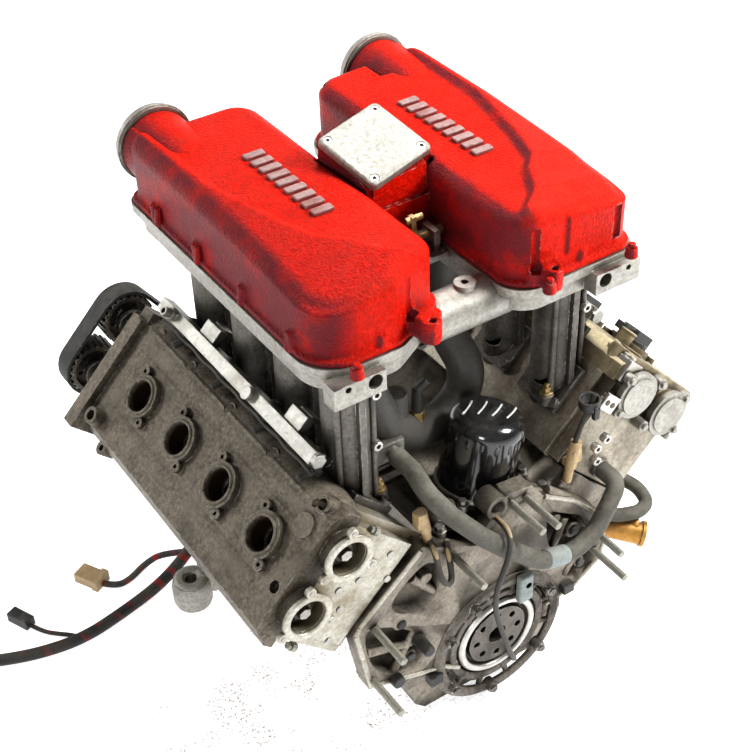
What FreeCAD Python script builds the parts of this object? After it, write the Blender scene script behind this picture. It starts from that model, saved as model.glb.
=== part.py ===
import FreeCAD, Part
import Sketcher
import math
import os
from FreeCAD import Placement, Rotation, Vector

# Frame: X to the right, Y from the rear flange face towards the belts, Z up.
# The crank axis is Y. Left is the -X bank. All sizes are millimetres.

doc = FreeCAD.newDocument("engine")
sheet = doc.addObject("Spreadsheet::Sheet", "dims")


class Dim:
    """A number that also knows the sheet expression it came from."""

    def __init__(self, value, text):
        self.value = float(value)
        self.text = text

    def __add__(self, other):
        return mixed(self, other, "+")

    def __radd__(self, other):
        return mixed(other, self, "+")

    def __sub__(self, other):
        return mixed(self, other, "-")

    def __rsub__(self, other):
        return mixed(other, self, "-")

    def __mul__(self, other):
        return mixed(self, other, "*")

    def __rmul__(self, other):
        return mixed(other, self, "*")

    def __neg__(self):
        return mixed(-1, self, "*")


def val(item):
    return item.value if isinstance(item, Dim) else float(item)


def txt(item):
    return item.text if isinstance(item, Dim) else "%.6g" % item


def mixed(one, two, sign):
    a, b = val(one), val(two)
    result = {"+": a + b, "-": a - b, "*": a * b}[sign]
    return Dim(result, "(%s %s %s)" % (txt(one), sign, txt(two)))


SIZES = {
    "bore": 85, "stroke": 77, "pitch": 94, "firstcyl": 70, "stagger": 24,
    "deck": 218, "gasket": 1.2, "linerwall": 3, "camheight": 335, "camside": 38.5,
    "headin": 80, "headout": 88, "headend": 444, "covertop": 372, "welltop": 381,
    "caseend": 462, "flange": 22, "carrier": 78, "sumprail": -45, "sumpfloor": -100,
    "journal": 30, "crankpin": 24, "fit": 0.04, "camjournal": 14, "tunnel": 21,
    "baselow": 425, "basetop": 468, "plenumtop": 556, "plenumin": 40, "plenumout": 200,
    "snoutx": 154, "snoutz": 516, "snout": 44, "snoutend": 470, "runnerx": 152,
    "runner": 27, "railin": 102, "railheight": 384, "filterr": 45, "filterlen": 97,
    "belty": 507, "beltwide": 28, "pulley": 35, "jackheight": 92, "crankend": 592,
}
for row, (alias, number) in enumerate(SIZES.items(), start=1):
    sheet.set("A%d" % row, alias)
    sheet.set("B%d" % row, str(number))
    sheet.setAlias("B%d" % row, alias)
doc.recompute()
D = {alias: Dim(number, "dims." + alias) for alias, number in SIZES.items()}
LEFT, RIGHT = 1, -1
TURN = {
    "x": Rotation(Vector(0, 1, 0), 90), "-x": Rotation(Vector(0, 1, 0), -90),
    "y": Rotation(Vector(1, 0, 0), -90), "-y": Rotation(Vector(1, 0, 0), 90),
    "z": Rotation(), "-z": Rotation(Vector(1, 0, 0), 180),
}
CYLS = range(4)
nodes = {}


# ---------------------------------------------------------------- building blocks
def make(kind, name):
    return doc.addObject(kind, name)


def bind(item, **sizes):
    for prop, size in sizes.items():
        setattr(item, prop, val(size))
        if isinstance(size, Dim):
            item.setExpression(prop, size.text)


def put(item, x=0, y=0, z=0, turn=None):
    item.Placement = Placement(Vector(val(x), val(y), val(z)), turn or Rotation())
    for key, size in (("x", x), ("y", y), ("z", z)):
        if isinstance(size, Dim):
            item.setExpression("Placement.Base." + key, size.text)
    return item


def box(x, y, z, lx, ly, lz):
    """Box between two corners; the lengths may be negative."""
    item = make("Part::Box", "box")
    corner = []
    for start, length, prop in ((x, lx, "Length"), (y, ly, "Width"), (z, lz, "Height")):
        if val(length) < 0:
            start, length = start + length, -1 * length
        bind(item, **{prop: length})
        corner.append(start)
    return put(item, *corner)


def rod(radius, length, x=0, y=0, z=0, axis="y"):
    item = make("Part::Cylinder", "rod")
    bind(item, Radius=radius, Height=length)
    turn = TURN[axis] if isinstance(axis, str) else Rotation(Vector(0, 0, 1), Vector(*axis))
    return put(item, x, y, z, turn)


def cone(r1, r2, length, x=0, y=0, z=0, axis="z"):
    item = make("Part::Cone", "cone")
    bind(item, Radius1=r1, Radius2=r2, Height=length)
    turn = TURN[axis] if isinstance(axis, str) else Rotation(Vector(0, 0, 1), Vector(*axis))
    return put(item, x, y, z, turn)


def hexagon(size, length, x=0, y=0, z=0, axis="z"):
    item = make("Part::Prism", "hexagon")
    bind(item, Circumradius=size, Height=length)
    item.Polygon = 6
    turn = TURN[axis] if isinstance(axis, str) else Rotation(Vector(0, 0, 1), Vector(*axis))
    return put(item, x, y, z, turn)


def link(start, end, radius):
    """Straight rod between two points."""
    a, b = Vector(*start), Vector(*end)
    item = make("Part::Cylinder", "link")
    bind(item, Radius=radius, Height=(b - a).Length)
    return put(item, a.x, a.y, a.z, Rotation(Vector(0, 0, 1), b - a))


def fuse(*items):
    if len(items) == 1:
        return items[0]
    item = make("Part::MultiFuse", "fuse")
    item.Shapes = list(items)
    return item


def cut(base, *tools):
    item = make("Part::Cut", "cut")
    item.Base = base
    item.Tool = fuse(*tools)
    return item


def common(*items):
    item = make("Part::MultiCommon", "common")
    item.Shapes = list(items)
    return item


def outline(points):
    """Closed sketch whose corners are held by distances from the origin."""
    sketch = make("Sketcher::SketchObject", "outline")
    spots = [Vector(val(px), val(py), 0) for px, py in points]
    count = len(spots)
    for i in range(count):
        sketch.addGeometry(Part.LineSegment(spots[i], spots[(i + 1) % count]), False)
    for i in range(count):
        sketch.addConstraint(Sketcher.Constraint("Coincident", i, 2, (i + 1) % count, 1))
    for i, (px, py) in enumerate(points):
        for kind, size, axis in (("DistanceX", px, -2), ("DistanceY", py, -1)):
            if abs(val(size)) < 1e-6:
                sketch.addConstraint(Sketcher.Constraint("PointOnObject", i, 1, axis))
                continue
            index = sketch.addConstraint(Sketcher.Constraint(kind, -1, 1, i, 1, val(size)))
            if isinstance(size, Dim):
                sketch.setExpression("Constraints[%d]" % index, size.text)
    return sketch


def extrude(sketch, direction, length):
    item = make("Part::Extrusion", "extrude")
    item.Base = sketch
    item.DirMode = "Custom"
    item.Dir = Vector(*direction)
    item.Solid = True
    bind(item, LengthFwd=length)
    return item


def plate(points, y, depth):
    """Outline in X and Z, carried along +Y."""
    return extrude(put(outline(points), 0, y, 0, TURN["-y"]), (0, 1, 0), depth)


def slab(points, z, depth):
    """Outline in X and Y, carried up."""
    return extrude(put(outline(points), 0, 0, z), (0, 0, 1), depth)


def soften(base, radius, test):
    """Fillet the edges that pass a test on their middle point and direction."""
    doc.recompute()
    picked = []
    for number, edge in enumerate(base.Shape.Edges, start=1):
        middle = edge.valueAt((edge.FirstParameter + edge.LastParameter) / 2)
        along = edge.tangentAt((edge.FirstParameter + edge.LastParameter) / 2)
        if test(middle, along):
            picked.append((number, radius, radius))
    item = make("Part::Fillet", "soften")
    item.Base = base
    item.Edges = picked
    return item


def upright(middle, along):
    return abs(along.z) > 0.99


def lengthwise(middle, along):
    return abs(along.y) > 0.99


def coded(shape, name="cast"):
    item = make("Part::Feature", name)
    item.Shape = shape
    return item


def rounded_wire(corners, z):
    """Closed wire in X and Y; each corner is (x, y, radius)."""
    edges = []
    count = len(corners)
    cuts = []
    for i in range(count):
        here = Vector(corners[i][0], corners[i][1], z)
        before = Vector(corners[i - 1][0], corners[i - 1][1], z)
        after = Vector(corners[(i + 1) % count][0], corners[(i + 1) % count][1], z)
        one, two = (before - here).normalize(), (after - here).normalize()
        half = math.acos(max(-1, min(1, one.dot(two)))) / 2
        back = corners[i][2] / math.tan(half)
        middle = here + (one + two).normalize() * (corners[i][2] / math.sin(half) - corners[i][2])
        cuts.append((here + one * back, middle, here + two * back))
    for i in range(count):
        edges.append(Part.Arc(*cuts[i]).toShape())
        edges.append(Part.LineSegment(cuts[i][2], cuts[(i + 1) % count][0]).toShape())
    return Part.Wire(Part.__sortEdges__(edges))


def rounded_block(corners, z, depth):
    return Part.Face(rounded_wire(corners, z)).extrude(Vector(0, 0, depth))


def bent_tube(points, radius, bend=0, hollow=0):
    """Tube of straight runs joined by round bends; a bend of 0 is as wide as the runs allow."""
    spots = [Vector(*p) for p in points]

    def swept(size):
        pieces = []
        start = spots[0]
        for i in range(1, len(spots) - 1):
            into, out = spots[i] - spots[i - 1], spots[i + 1] - spots[i]
            room = 0.45 * min(into.Length, out.Length)
            turn = into.getAngle(out)
            back = min(room, bend * math.tan(turn / 2)) if bend else room
            into.normalize()
            out.normalize()
            first, last = spots[i] - into * back, spots[i] + out * back
            pieces.append(Part.makeCylinder(size, (first - start).Length, start, into))
            axis = into.cross(out).normalize()
            centre = first + axis.cross(into) * (back / math.tan(turn / 2))
            disc = Part.Face(Part.Wire(Part.makeCircle(size, first, into)))
            pieces.append(disc.revolve(centre, axis, math.degrees(turn)))
            start = last
        into = spots[-1] - start
        pieces.append(Part.makeCylinder(size, into.Length, start, into))
        return pieces[0].fuse(pieces[1:])

    tube = swept(radius)
    return tube.cut(swept(hollow)) if hollow else tube.removeSplitter()


def bank_turn(side):
    return Rotation(Vector(0, 1, 0), -45 * side)


def on_bank(side, item, up=0):
    """Lean a piece drawn upright over to its bank; the right bank sits further forward."""
    shift = 0 if side == LEFT else D["stagger"]
    if item.TypeId in ("Part::Box", "Part::Cylinder", "Part::Extrusion"):
        held = make("Part::Compound", "held")
        held.Links = [item]
        item = held
    return put(item, 0, shift, 0, bank_turn(side))


def bank_point(side, inner, y, height):
    """Frame point for a place on a bank: distance to the valley side, Y and height."""
    shift = 0 if side == LEFT else SIZES["stagger"]
    spot = bank_turn(side).multVec(Vector(side * inner, 0, height))
    return (spot.x, y + shift, spot.z)


def cyl_y(number):
    return D["firstcyl"] + D["pitch"] * number


def node(name, item):
    item.Label = name
    nodes[name] = item
    return item


# ---------------------------------------------------------------- block and bottom end
def engine_block():
    case = plate([(-118, D["sumprail"]), (-118, 34), (-96, 96), (-56, 150), (56, 150),
                  (96, 96), (118, 34), (118, D["sumprail"])],
                 D["flange"], D["caseend"] - D["flange"])
    face = plate([(-187, 28), (-204, 128), (-198, 140), (-110, 214), (-96, 206), (-70, 190),
                  (-34, 172), (-14, 208), (8, 228), (42, 224), (60, 198), (112, 166),
                  (150, 124), (168, 66), (160, 36), (122, 10), (72, 2),
                  (53, -27), (-53, -27), (-83, -6), (-121, 5)], 0, D["flange"])
    banks = []
    for side, start in ((LEFT, 22), (RIGHT, 0)):
        body = box(-66, start, 60, 132, D["caseend"] - 24 * (side == RIGHT) - start,
                   D["deck"] - D["gasket"] - 60)
        ribs = [box(-side * 66, cyl_y(i) - 4, 96, -side * 8, 8, 112) for i in CYLS]
        banks.append(on_bank(side, fuse(body, *ribs)))
    valley = box(-40, 30, 120, 80, 420, 46)
    ribs = [link((0, 24, 100), (x, 24, z), 5)
            for x, z in ((-186, 108), (-176, 44), (-60, 176), (146, 112), (150, 60))]
    bosses = [rod(9, D["flange"], x, 0, z) for x, z in STUDS]
    bosses.append(rod(15, D["flange"] + 5, -10, -5, 220))
    rails = [box(-118, 432, -38, -16, 16, 16)]
    rails += [box(side * 118, 24, D["sumprail"], side * -14, 436, 16) for side in (1, -1)]
    solid = fuse(case, face, valley, *(banks + ribs + bosses + rails))
    tools = []
    for side in (LEFT, RIGHT):
        wells = [rod(D["bore"] * 0.5 + D["linerwall"], 160, 0, cyl_y(i), 66, "z") for i in CYLS]
        tools.append(on_bank(side, fuse(*wells)))
    for i in CYLS:
        tools.append(rod(72, 72, 0, cyl_y(i) + 12 - 36, 0))
    tools.append(rod(D["journal"] + 2, 480, 0, 10, 0))
    tools.append(rod(D["carrier"], D["flange"] + 1, 0, -1, 0))
    tools.append(rod(10, 24, -10, -6, 220))
    tools.append(rod(44, 30, 0, 0, 0))
    for x, z in STUDS:
        tools.append(rod(4.6, 40, x, -2, z))
    for side in (1, -1):
        tools.append(rod(5, 40, side * 118, 331, -20, "x" if side < 0 else "-x"))
    return node("engine_block", cut(solid, *tools))


STUDS = ((-181, 40), (-176, 124), (-68, 176), (12, 214), (34, 210), (138, 104), (148, 58))


def cylinder_liners():
    banks = []
    for side in (LEFT, RIGHT):
        tubes = []
        for i in CYLS:
            length = D["deck"] - D["gasket"] - 66
            outer = rod(D["bore"] * 0.5 + D["linerwall"], length, 0, cyl_y(i), 66, "z")
            inner = rod(D["bore"] * 0.5, length + 4, 0, cyl_y(i), 64, "z")
            tubes.append(cut(outer, inner))
        banks.append(on_bank(side, fuse(*tubes)))
    return node("cylinder_liners", fuse(*banks))


def main_bearings():
    rings = []
    for i in range(5):
        y = cyl_y(0) + 12 - D["pitch"] * 0.5 + D["pitch"] * i - 9
        rings.append(cut(rod(D["journal"] + 2, 18, 0, y, 0), rod(D["journal"] + D["fit"], 20, 0, y - 1, 0)))
    return node("main_bearings", fuse(*rings))


def sump():
    depth = D["sumprail"] - D["sumpfloor"]
    pan = plate([(-112, D["sumprail"]), (112, D["sumprail"]), (104, D["sumpfloor"] + 14),
                 (90, D["sumpfloor"]), (-90, D["sumpfloor"]), (-104, D["sumpfloor"] + 14)], 26, 430)
    lip = box(-118, 24, D["sumprail"] - 8, 236, 436, 8)
    hollow = box(-92, 32, D["sumpfloor"] + 6, 184, 418, depth)
    fins = [box(x, 40, D["sumpfloor"] + 1, 5, 400, -1) for x in (-60, -20, 20, 60)]
    plug = hexagon(12, 12, 106, 120, -72, "x")
    solid = fuse(pan, lip, *fins)
    return node("sump", fuse(cut(solid, hollow), plug))


def seal_carrier():
    disc = rod(D["carrier"] - 0.5, 12, 0, 10, 0)
    lip = rod(54.5, 3, 0, 7, 0)
    step = rod(66, 2, 0, 8, 0)
    bolts = []
    for i in range(8):
        turn = math.radians(22.5 + 45 * i)
        bolts.append(rod(4.5, 4, 72 * math.cos(turn), 6, 72 * math.sin(turn)))
    solid = fuse(disc, lip, step, *bolts)
    return node("rear_seal_carrier", cut(solid, rod(42.6, 30, 0, 0, 0)))


def rear_studs():
    pins = [rod(4.6, 78, x, -58, z) for x, z in STUDS]
    return node("rear_studs", fuse(*pins))


def crankshaft():
    parts = [rod(42, 13, 0, 0, 0), rod(34, 8, 0, 13, 0), rod(D["journal"], 37, 0, 13, 0)]
    for i in CYLS:
        up = 1 if i in (0, 3) else -1
        y = cyl_y(i) + 12
        throw = D["stroke"] * (0.5 * up)
        parts.append(rod(D["crankpin"], 40, 0, y - 20, throw))
        for start in (-32, 18):
            parts.append(rod(33, 14, 0, y + start, 28 * up))
            parts.append(rod(44, 14, 0, y + start, -12 * up))
        parts.append(rod(D["journal"], 32, 0, y + 31, 0))
    end = D["caseend"]
    parts.append(rod(30.4, 18, 0, end + 12, 0))
    parts.append(rod(18, 140, 0, 450, 0))
    parts.append(rod(D["journal"], 30, 0, 395, 0))
    holes = [rod(13, 34, 0, -1, 0)]
    for i in range(8):
        turn = math.radians(45 * i)
        holes.append(rod(4.5, 12, 31 * math.cos(turn), -1, 31 * math.sin(turn)))
    return node("crankshaft", cut(fuse(*parts), *holes))


def crank_pulley():
    y = D["crankend"] - 26
    wheel = fuse(rod(68, 22, 0, y, 0), rod(30, 26, 0, y, 0), hexagon(14, 10, 0, y + 25, 0, "y"))
    groove = cut(rod(70, 12, 0, y + 6, 0), rod(62, 14, 0, y + 5, 0))
    dish = cut(rod(54, 8, 0, y + 15, 0), rod(31, 10, 0, y + 14, 0))
    return node("crank_pulley", cut(wheel, groove, dish, rod(18, 24.5, 0, y - 0.5, 0)))


def pistons(side, pair):
    """Two pistons whose crank pins point the same way, so they rise together."""
    top = D["deck"] - D["stroke"] * 0.5 - 1.5
    bodies = []
    for number in pair:
        y = cyl_y(number)
        crown = rod(D["bore"] * 0.5 - 0.05, 58, 0, y, top - 58, "z")
        hollow = rod(36, 46, 0, y, top - 60, "z")
        rings = [cut(rod(44, 2, 0, y, top - 8 - 6 * k, "z"), rod(41, 4, 0, y, top - 9 - 6 * k, "z"))
                 for k in range(3)]
        pin = rod(11, 90, 0, y - 45, top - 34, "y")
        bodies.append(cut(crown, hollow, pin, *rings))
    word = "left" if side == LEFT else "right"
    place = "outer" if 0 in pair else "inner"
    return node("%s_%s_pistons" % (word, place), on_bank(side, fuse(*bodies)))


def timing_case():
    wall = [(-118, D["sumprail"]), (118, D["sumprail"]), (136, 30), (130, 104), (96, 138),
            (0, 150), (-96, 138), (-130, 104), (-136, 30)]
    jack = D["jackheight"] * math.sqrt(0.5)
    back = plate(wall, D["caseend"], 34)
    room = [rod(63, 40, side * jack, D["caseend"] + 10, jack) for side in (-1, 1)]
    room.append(rod(37, 40, 0, D["caseend"] + 10, 0))
    shafts = [rod(12 + D["fit"], 40, side * jack, D["caseend"] + 4, jack) for side in (-1, 1)]
    case = node("timing_case", cut(back, rod(22, 40, 0, D["caseend"] - 1, 0), *(room + shafts)))
    front = plate(wall, D["caseend"] + 34, 8)
    hoops = [rod(24, 9, side * jack, D["caseend"] + 34, jack) for side in (-1, 1)]
    holes = [rod(12 + D["fit"], 60, side * jack, D["caseend"] + 30, jack) for side in (-1, 1)]
    bolts = [rod(6, 10.5, x, D["caseend"] + 34, z) for x, z in
             ((-108, -34), (108, -34), (-124, 34), (124, 34), (-84, 134), (84, 134), (0, 141))]
    lid = cut(fuse(front, *(hoops + bolts)), rod(18.6, 40, 0, D["caseend"] + 30, 0), *holes)
    return case, node("timing_cover", lid)


def jackshaft(side):
    jack = D["jackheight"] * math.sqrt(0.5) * -side
    up = D["jackheight"] * math.sqrt(0.5)
    shift = 0 if side == LEFT else D["stagger"]
    shaft = rod(12, 45 + D["beltwide"] + 4 + shift, jack, D["caseend"] + 4, up)
    gear = rod(61, 18, jack, D["caseend"] + 12, up)
    name = "left_jackshaft" if side == LEFT else "right_jackshaft"
    wheel = coded(toothed(SIZES["pulley"], SIZES["belty"] - 2, SIZES["beltwide"] + 4, 12, 5), "wheel")
    put(wheel, jack, shift, up, bank_turn(side))
    return node(name, fuse(shaft, gear, wheel))


def toothed(radius, y, width, bore, spokes):
    """Belt pulley with square teeth, a web and a hub, drawn on the Y axis."""
    count = 24
    rim = []
    for i in range(count):
        turn = 2 * math.pi * i / count
        for grow, lean in ((0, -0.5), (0, -0.3), (2.4, -0.22), (2.4, 0.22), (0, 0.3)):
            angle = turn + lean * 2 * math.pi / count
            reach = radius - 2.4 + grow
            rim.append(Vector(reach * math.cos(angle), y, reach * math.sin(angle)))
    body = Part.Face(Part.makePolygon(rim + [rim[0]])).extrude(Vector(0, width, 0))
    dish = Part.makeCylinder(radius - 7, 9, Vector(0, y + width - 8, 0), Vector(0, 1, 0))
    hub = Part.makeCylinder(13, 12, Vector(0, y + width - 10, 0), Vector(0, 1, 0))
    body = body.cut(dish.cut(hub))
    back = Part.makeCylinder(radius - 7, 9, Vector(0, y - 1, 0), Vector(0, 1, 0))
    body = body.cut(back.cut(Part.makeCylinder(13, 12, Vector(0, y - 2, 0), Vector(0, 1, 0))))
    for i in range(spokes):
        turn = 2 * math.pi * i / spokes
        spot = Vector(18.5 * math.cos(turn), y - 1, 18.5 * math.sin(turn))
        body = body.cut(Part.makeCylinder(3.4, width + 4, spot, Vector(0, 1, 0)))
    return body.cut(Part.makeCylinder(bore, width + 6, Vector(0, y - 3, 0), Vector(0, 1, 0)))


def belt(side):
    """Band round two cam pulleys and the jackshaft pulley of one bank."""
    centres = [(side * SIZES["camside"], SIZES["camheight"]),
               (-side * SIZES["camside"], SIZES["camheight"]), (0, SIZES["jackheight"])]
    def band(radius, grow):
        y = SIZES["belty"] - grow
        wide = SIZES["beltwide"] + 2 * grow
        shape = None
        for i in range(3):
            (ax, az), (bx, bz) = centres[i], centres[(i + 1) % 3]
            run = Vector(bx - ax, 0, bz - az)
            off = Vector(-run.z, 0, run.x).normalize() * radius
            a, b = Vector(ax, y, az), Vector(bx, y, bz)
            quad = [a + off, b + off, b - off, a - off, a + off]
            piece = Part.Face(Part.makePolygon(quad)).extrude(Vector(0, wide, 0))
            disc = Part.makeCylinder(radius, wide, a, Vector(0, 1, 0))
            for extra in (piece, disc):
                shape = extra if shape is None else shape.fuse(extra)
        tri = [Vector(cx, y, cz) for cx, cz in centres]
        shape = shape.fuse(Part.Face(Part.makePolygon(tri + [tri[0]])).extrude(Vector(0, wide, 0)))
        return shape.removeSplitter()
    shape = band(SIZES["pulley"] + 4.5, 0).cut(band(SIZES["pulley"] + 0.3, 1))
    word = "left" if side == LEFT else "right"
    return node(word + "_timing_belt", on_bank(side, coded(shape, "belt")))


# ---------------------------------------------------------------- heads and cams
def cam_spaces(side):
    """Bearing bores and lobe rooms shared by a head and its cover."""
    tools = []
    for inner in (1, -1):
        x = D["camside"] * (side * inner)
        tools.append(rod(D["camjournal"] + D["fit"], 500, x, -20, D["camheight"]))
        tools.append(rod(D["tunnel"], 30, x, -15, D["camheight"]))
        for i in CYLS:
            tools.append(rod(D["tunnel"], 72, x, cyl_y(i) - 36, D["camheight"]))
        tools.append(rod(24, 30, x, D["headend"] - 12, D["camheight"]))
    return tools


def rims(side):
    reach = 31 if side == LEFT else 24
    return [rod(27, reach, D["camside"] * (side * inner), 22 - reach, D["camheight"])
            for inner in (1, -1)]


def head(side):
    word = "left" if side == LEFT else "right"
    low, top = D["deck"], D["camheight"]
    body = box(side * -1 * D["headout"], 22, low, side * (D["headin"] + D["headout"]),
               D["headend"] - 22, top - low)
    foot = 240 if side == LEFT else 219
    back = box(-side * 70, 6, foot, side * 140, 18, top - foot)
    pads = [box(side * -88, cyl_y(i) - 26, 240, side * -6, 52, 46) for i in CYLS]
    edge = box(side * -88, 30, top - 8, side * -4, 404, 8)
    solid = fuse(body, back, edge, *(pads + rims(side)))
    tools = [box(-110, -30, top, 220, 520, 40)]
    for i in CYLS:
        y = cyl_y(i)
        tools.append(cone(43, 26, 14, 0, y, low, "z"))
        tools.append(rod(7.1, 60, 0, y, low + 6, "z"))
        tools.append(rod(14, 100, 0, y, low + 32, "z"))
        tools.append(rod(17, 50, side * 82, y, 295, "-x" if side > 0 else "x"))
        tools.append(link((side * 38, val(y), 295), (side * 17, val(y), 224), 14))
        tools.append(rod(16, 60, side * -96, y, 262, "x" if side > 0 else "-x"))
        tools.append(link((side * -40, val(y), 262), (side * -17, val(y), 224), 13))
        for dy in (-20, 20):
            tools.append(rod(3.4, 12, side * -95, y + dy, 262 + 0.6 * dy, "x" if side > 0 else "-x"))
        tools.append(box(side * -90, y + 34, 296, side * 8, 24, 26))
    return node(word + "_head", on_bank(side, cut(solid, *(tools + cam_spaces(side)))))


def cam_cover(side):
    word = "left" if side == LEFT else "right"
    base, top = D["camheight"], D["covertop"]
    shape = [(-92, base), (-92, base + 13), (-76, top), (64, top), (80, base + 20), (80, base)]
    if side == RIGHT:
        shape = [(-px, pz) for px, pz in reversed(shape)]
    body = plate(shape, 6, D["headend"] - 6)
    solid = [body, box(side * -94, D["headend"] - 18, top, side * 160, 20, 11)]
    solid.append(box(side * -94, D["headend"] - 18, base, side * 174, 20, 38))
    solid += rims(side)
    for i in CYLS:
        y = cyl_y(i)
        solid.append(rod(27, D["welltop"] - base - 10, 0, y, base + 10, "z"))
        for dx, dy in ((25, 20), (-25, -20)):
            solid.append(rod(7, D["welltop"] - base - 12, side * dx, y + dy, base + 10, "z"))
        solid.append(rod(8, 10, side * -84, y + 47, base, "z"))
    for y in (40, 134, 228, 322, 402):
        solid.append(rod(8, 14, side * 66, y, base + 18, "z"))
    solid.append(rod(11, 26, side * -62, 402, base + 26, "z"))
    solid.append(rod(9, 20, side * -92, 388, base + 1, "z"))
    solid.append(rod(14, 6, side * 40, 34, base + 34, "z"))
    stub = rod(10, 30, side * 70, 30, base + 8, "z")
    solid.append(stub)
    tools = [box(-120, -30, base, 240, 520, -60)]
    for i in CYLS:
        y = cyl_y(i)
        tools.append(rod(19, 40, 0, y, base + 20, "z"))
        tools.append(rod(14, 60, 0, y, base - 10, "z"))
        for dx, dy in ((25, 20), (-25, -20)):
            tools.append(rod(2.6, 20, side * dx, y + dy, base + 30, "z"))
    for y in (40, 134, 228, 322):
        tools.append(rod(5.6, 12, side * 66, y, base + 27, "z"))
    tools.append(rod(6.5, 30, side * -62, 402, base + 30, "z"))
    tools.append(rod(6.5, 30, side * 70, 30, base + 16, "z"))
    tools.append(rod(7, 14, side * -30, 20, base + 28, "z"))
    tools.append(rod(4, 30, side * -92, 388, base - 1, "z"))
    solid = cut(fuse(*solid), *(tools + cam_spaces(side)))
    return node(word + "_cam_cover", on_bank(side, solid))


def end_covers():
    caps = []
    for inner in (1, -1):
        x = D["camside"] * (RIGHT * inner)
        caps.append(fuse(rod(30, 8, x, -10, D["camheight"]), rod(24, 3, x, -12, D["camheight"]),
                         rod(20.9, 2.5, x, -3, D["camheight"])))
    studs = []
    for dx, dz in ((-68, 12), (-10, 27), (10, -27), (68, -12), (-50, -28), (50, 28)):
        studs.append(rod(4, 12, dx, -14, D["camheight"] + dz))
        studs.append(rod(7, 8 if abs(dx) > 10 else 16, dx, -10, D["camheight"] + dz))
    return node("right_cam_end_covers", on_bank(RIGHT, fuse(*(caps + studs))))


def camshaft(side, inner):
    word = "left" if side == LEFT else "right"
    role = "intake" if inner > 0 else "exhaust"
    length = D["belty"] + D["beltwide"] + 6
    parts = [rod(11, length, 0, 0, 0), rod(D["camjournal"], 12, 0, 17, 0), rod(18, 6, 0, 4, 0)]
    for i in CYLS:
        y = cyl_y(i)
        parts.append(rod(D["camjournal"], 22, 0, y + 36, 0))
        lean = math.radians((40, 220, 310, 130)[i] + (0 if inner > 0 else 110))
        for dy in (-22, 8):
            parts.append(rod(14, 14, 0, y + dy, 0))
            parts.append(rod(8, 14, 11 * math.cos(lean), y + dy, 11 * math.sin(lean)))
    parts.append(rod(19, 6, 0, D["belty"] - 14, 0))
    parts.append(hexagon(9, 7, 0, length - 1, 0, "y"))
    parts.append(coded(toothed(SIZES["pulley"], SIZES["belty"] - 2, SIZES["beltwide"] + 4, 11, 5),
                       "wheel"))
    body = cut(fuse(*parts), rod(5, 14, 0, -1, 0), box(-12, 2, -2, 24, 5, 4))
    height = SIZES["camheight"]
    spot = bank_point(side, inner * SIZES["camside"], 0, height)
    shift = 0 if side == LEFT else D["stagger"]
    put(body, spot[0], shift, spot[2], bank_turn(side))
    return node("%s_%s_camshaft" % (word, role), body)


def head_gaskets():
    sheets = []
    for side in (LEFT, RIGHT):
        skin = box(side * -80, 22, D["deck"] - D["gasket"], side * 156, 420, D["gasket"])
        skin = cut(skin, *[rod(43.5, 4, 0, cyl_y(i), D["deck"] - 3, "z") for i in CYLS])
        sheets.append(on_bank(side, skin))
    return node("head_gaskets", fuse(*sheets))


def spark_plugs():
    groups = []
    for side in (LEFT, RIGHT):
        plugs = []
        for i in CYLS:
            y = cyl_y(i)
            plugs += [rod(7.05, 32, 0, y, D["deck"] + 4, "z"), hexagon(9.4, 14, 0, y, 250, "z"),
                      rod(5, 44, 0, y, 262, "z"), rod(2.6, 8, 0, y, 305, "z")]
        groups.append(on_bank(side, fuse(*plugs)))
    return node("spark_plugs", fuse(*groups))


def coils():
    items = []
    for i in CYLS:
        y = cyl_y(i)
        items += [rod(18.6, 22, 0, y, 362, "z"),
                  cut(rod(12, 66, 0, y, 300, "z"), rod(5.4, 15, 0, y, 299, "z")),
                  rod(21, 5, 0, y, 381, "z"), box(-16, y - 13, 384, 34, 26, 14),
                  box(-38, y - 8, 386, 24, 16, 10), box(8, y + 10, 381, 24, 14, 4)]
        items.append(rod(3, 14, 18, y, 391, "x"))
    return node("ignition_coils", on_bank(RIGHT, fuse(*items)))


# ---------------------------------------------------------------- intake
def bay(side, grow, drop=0):
    """Plan corners of a plenum and its base, grown by a margin."""
    out, inn = 200 + grow, 40 - grow
    rear, front = 40 - grow, 455 + grow
    if side == LEFT:
        return [(-out, front, 24), (-out, rear, 50), (-108, rear, 34), (-inn, rear + 36, 24),
                (-inn, front, 34)]
    return [(out, front, 34), (inn, front - 11, 34), (inn, rear, 36), (out, rear, 26)]


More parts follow.
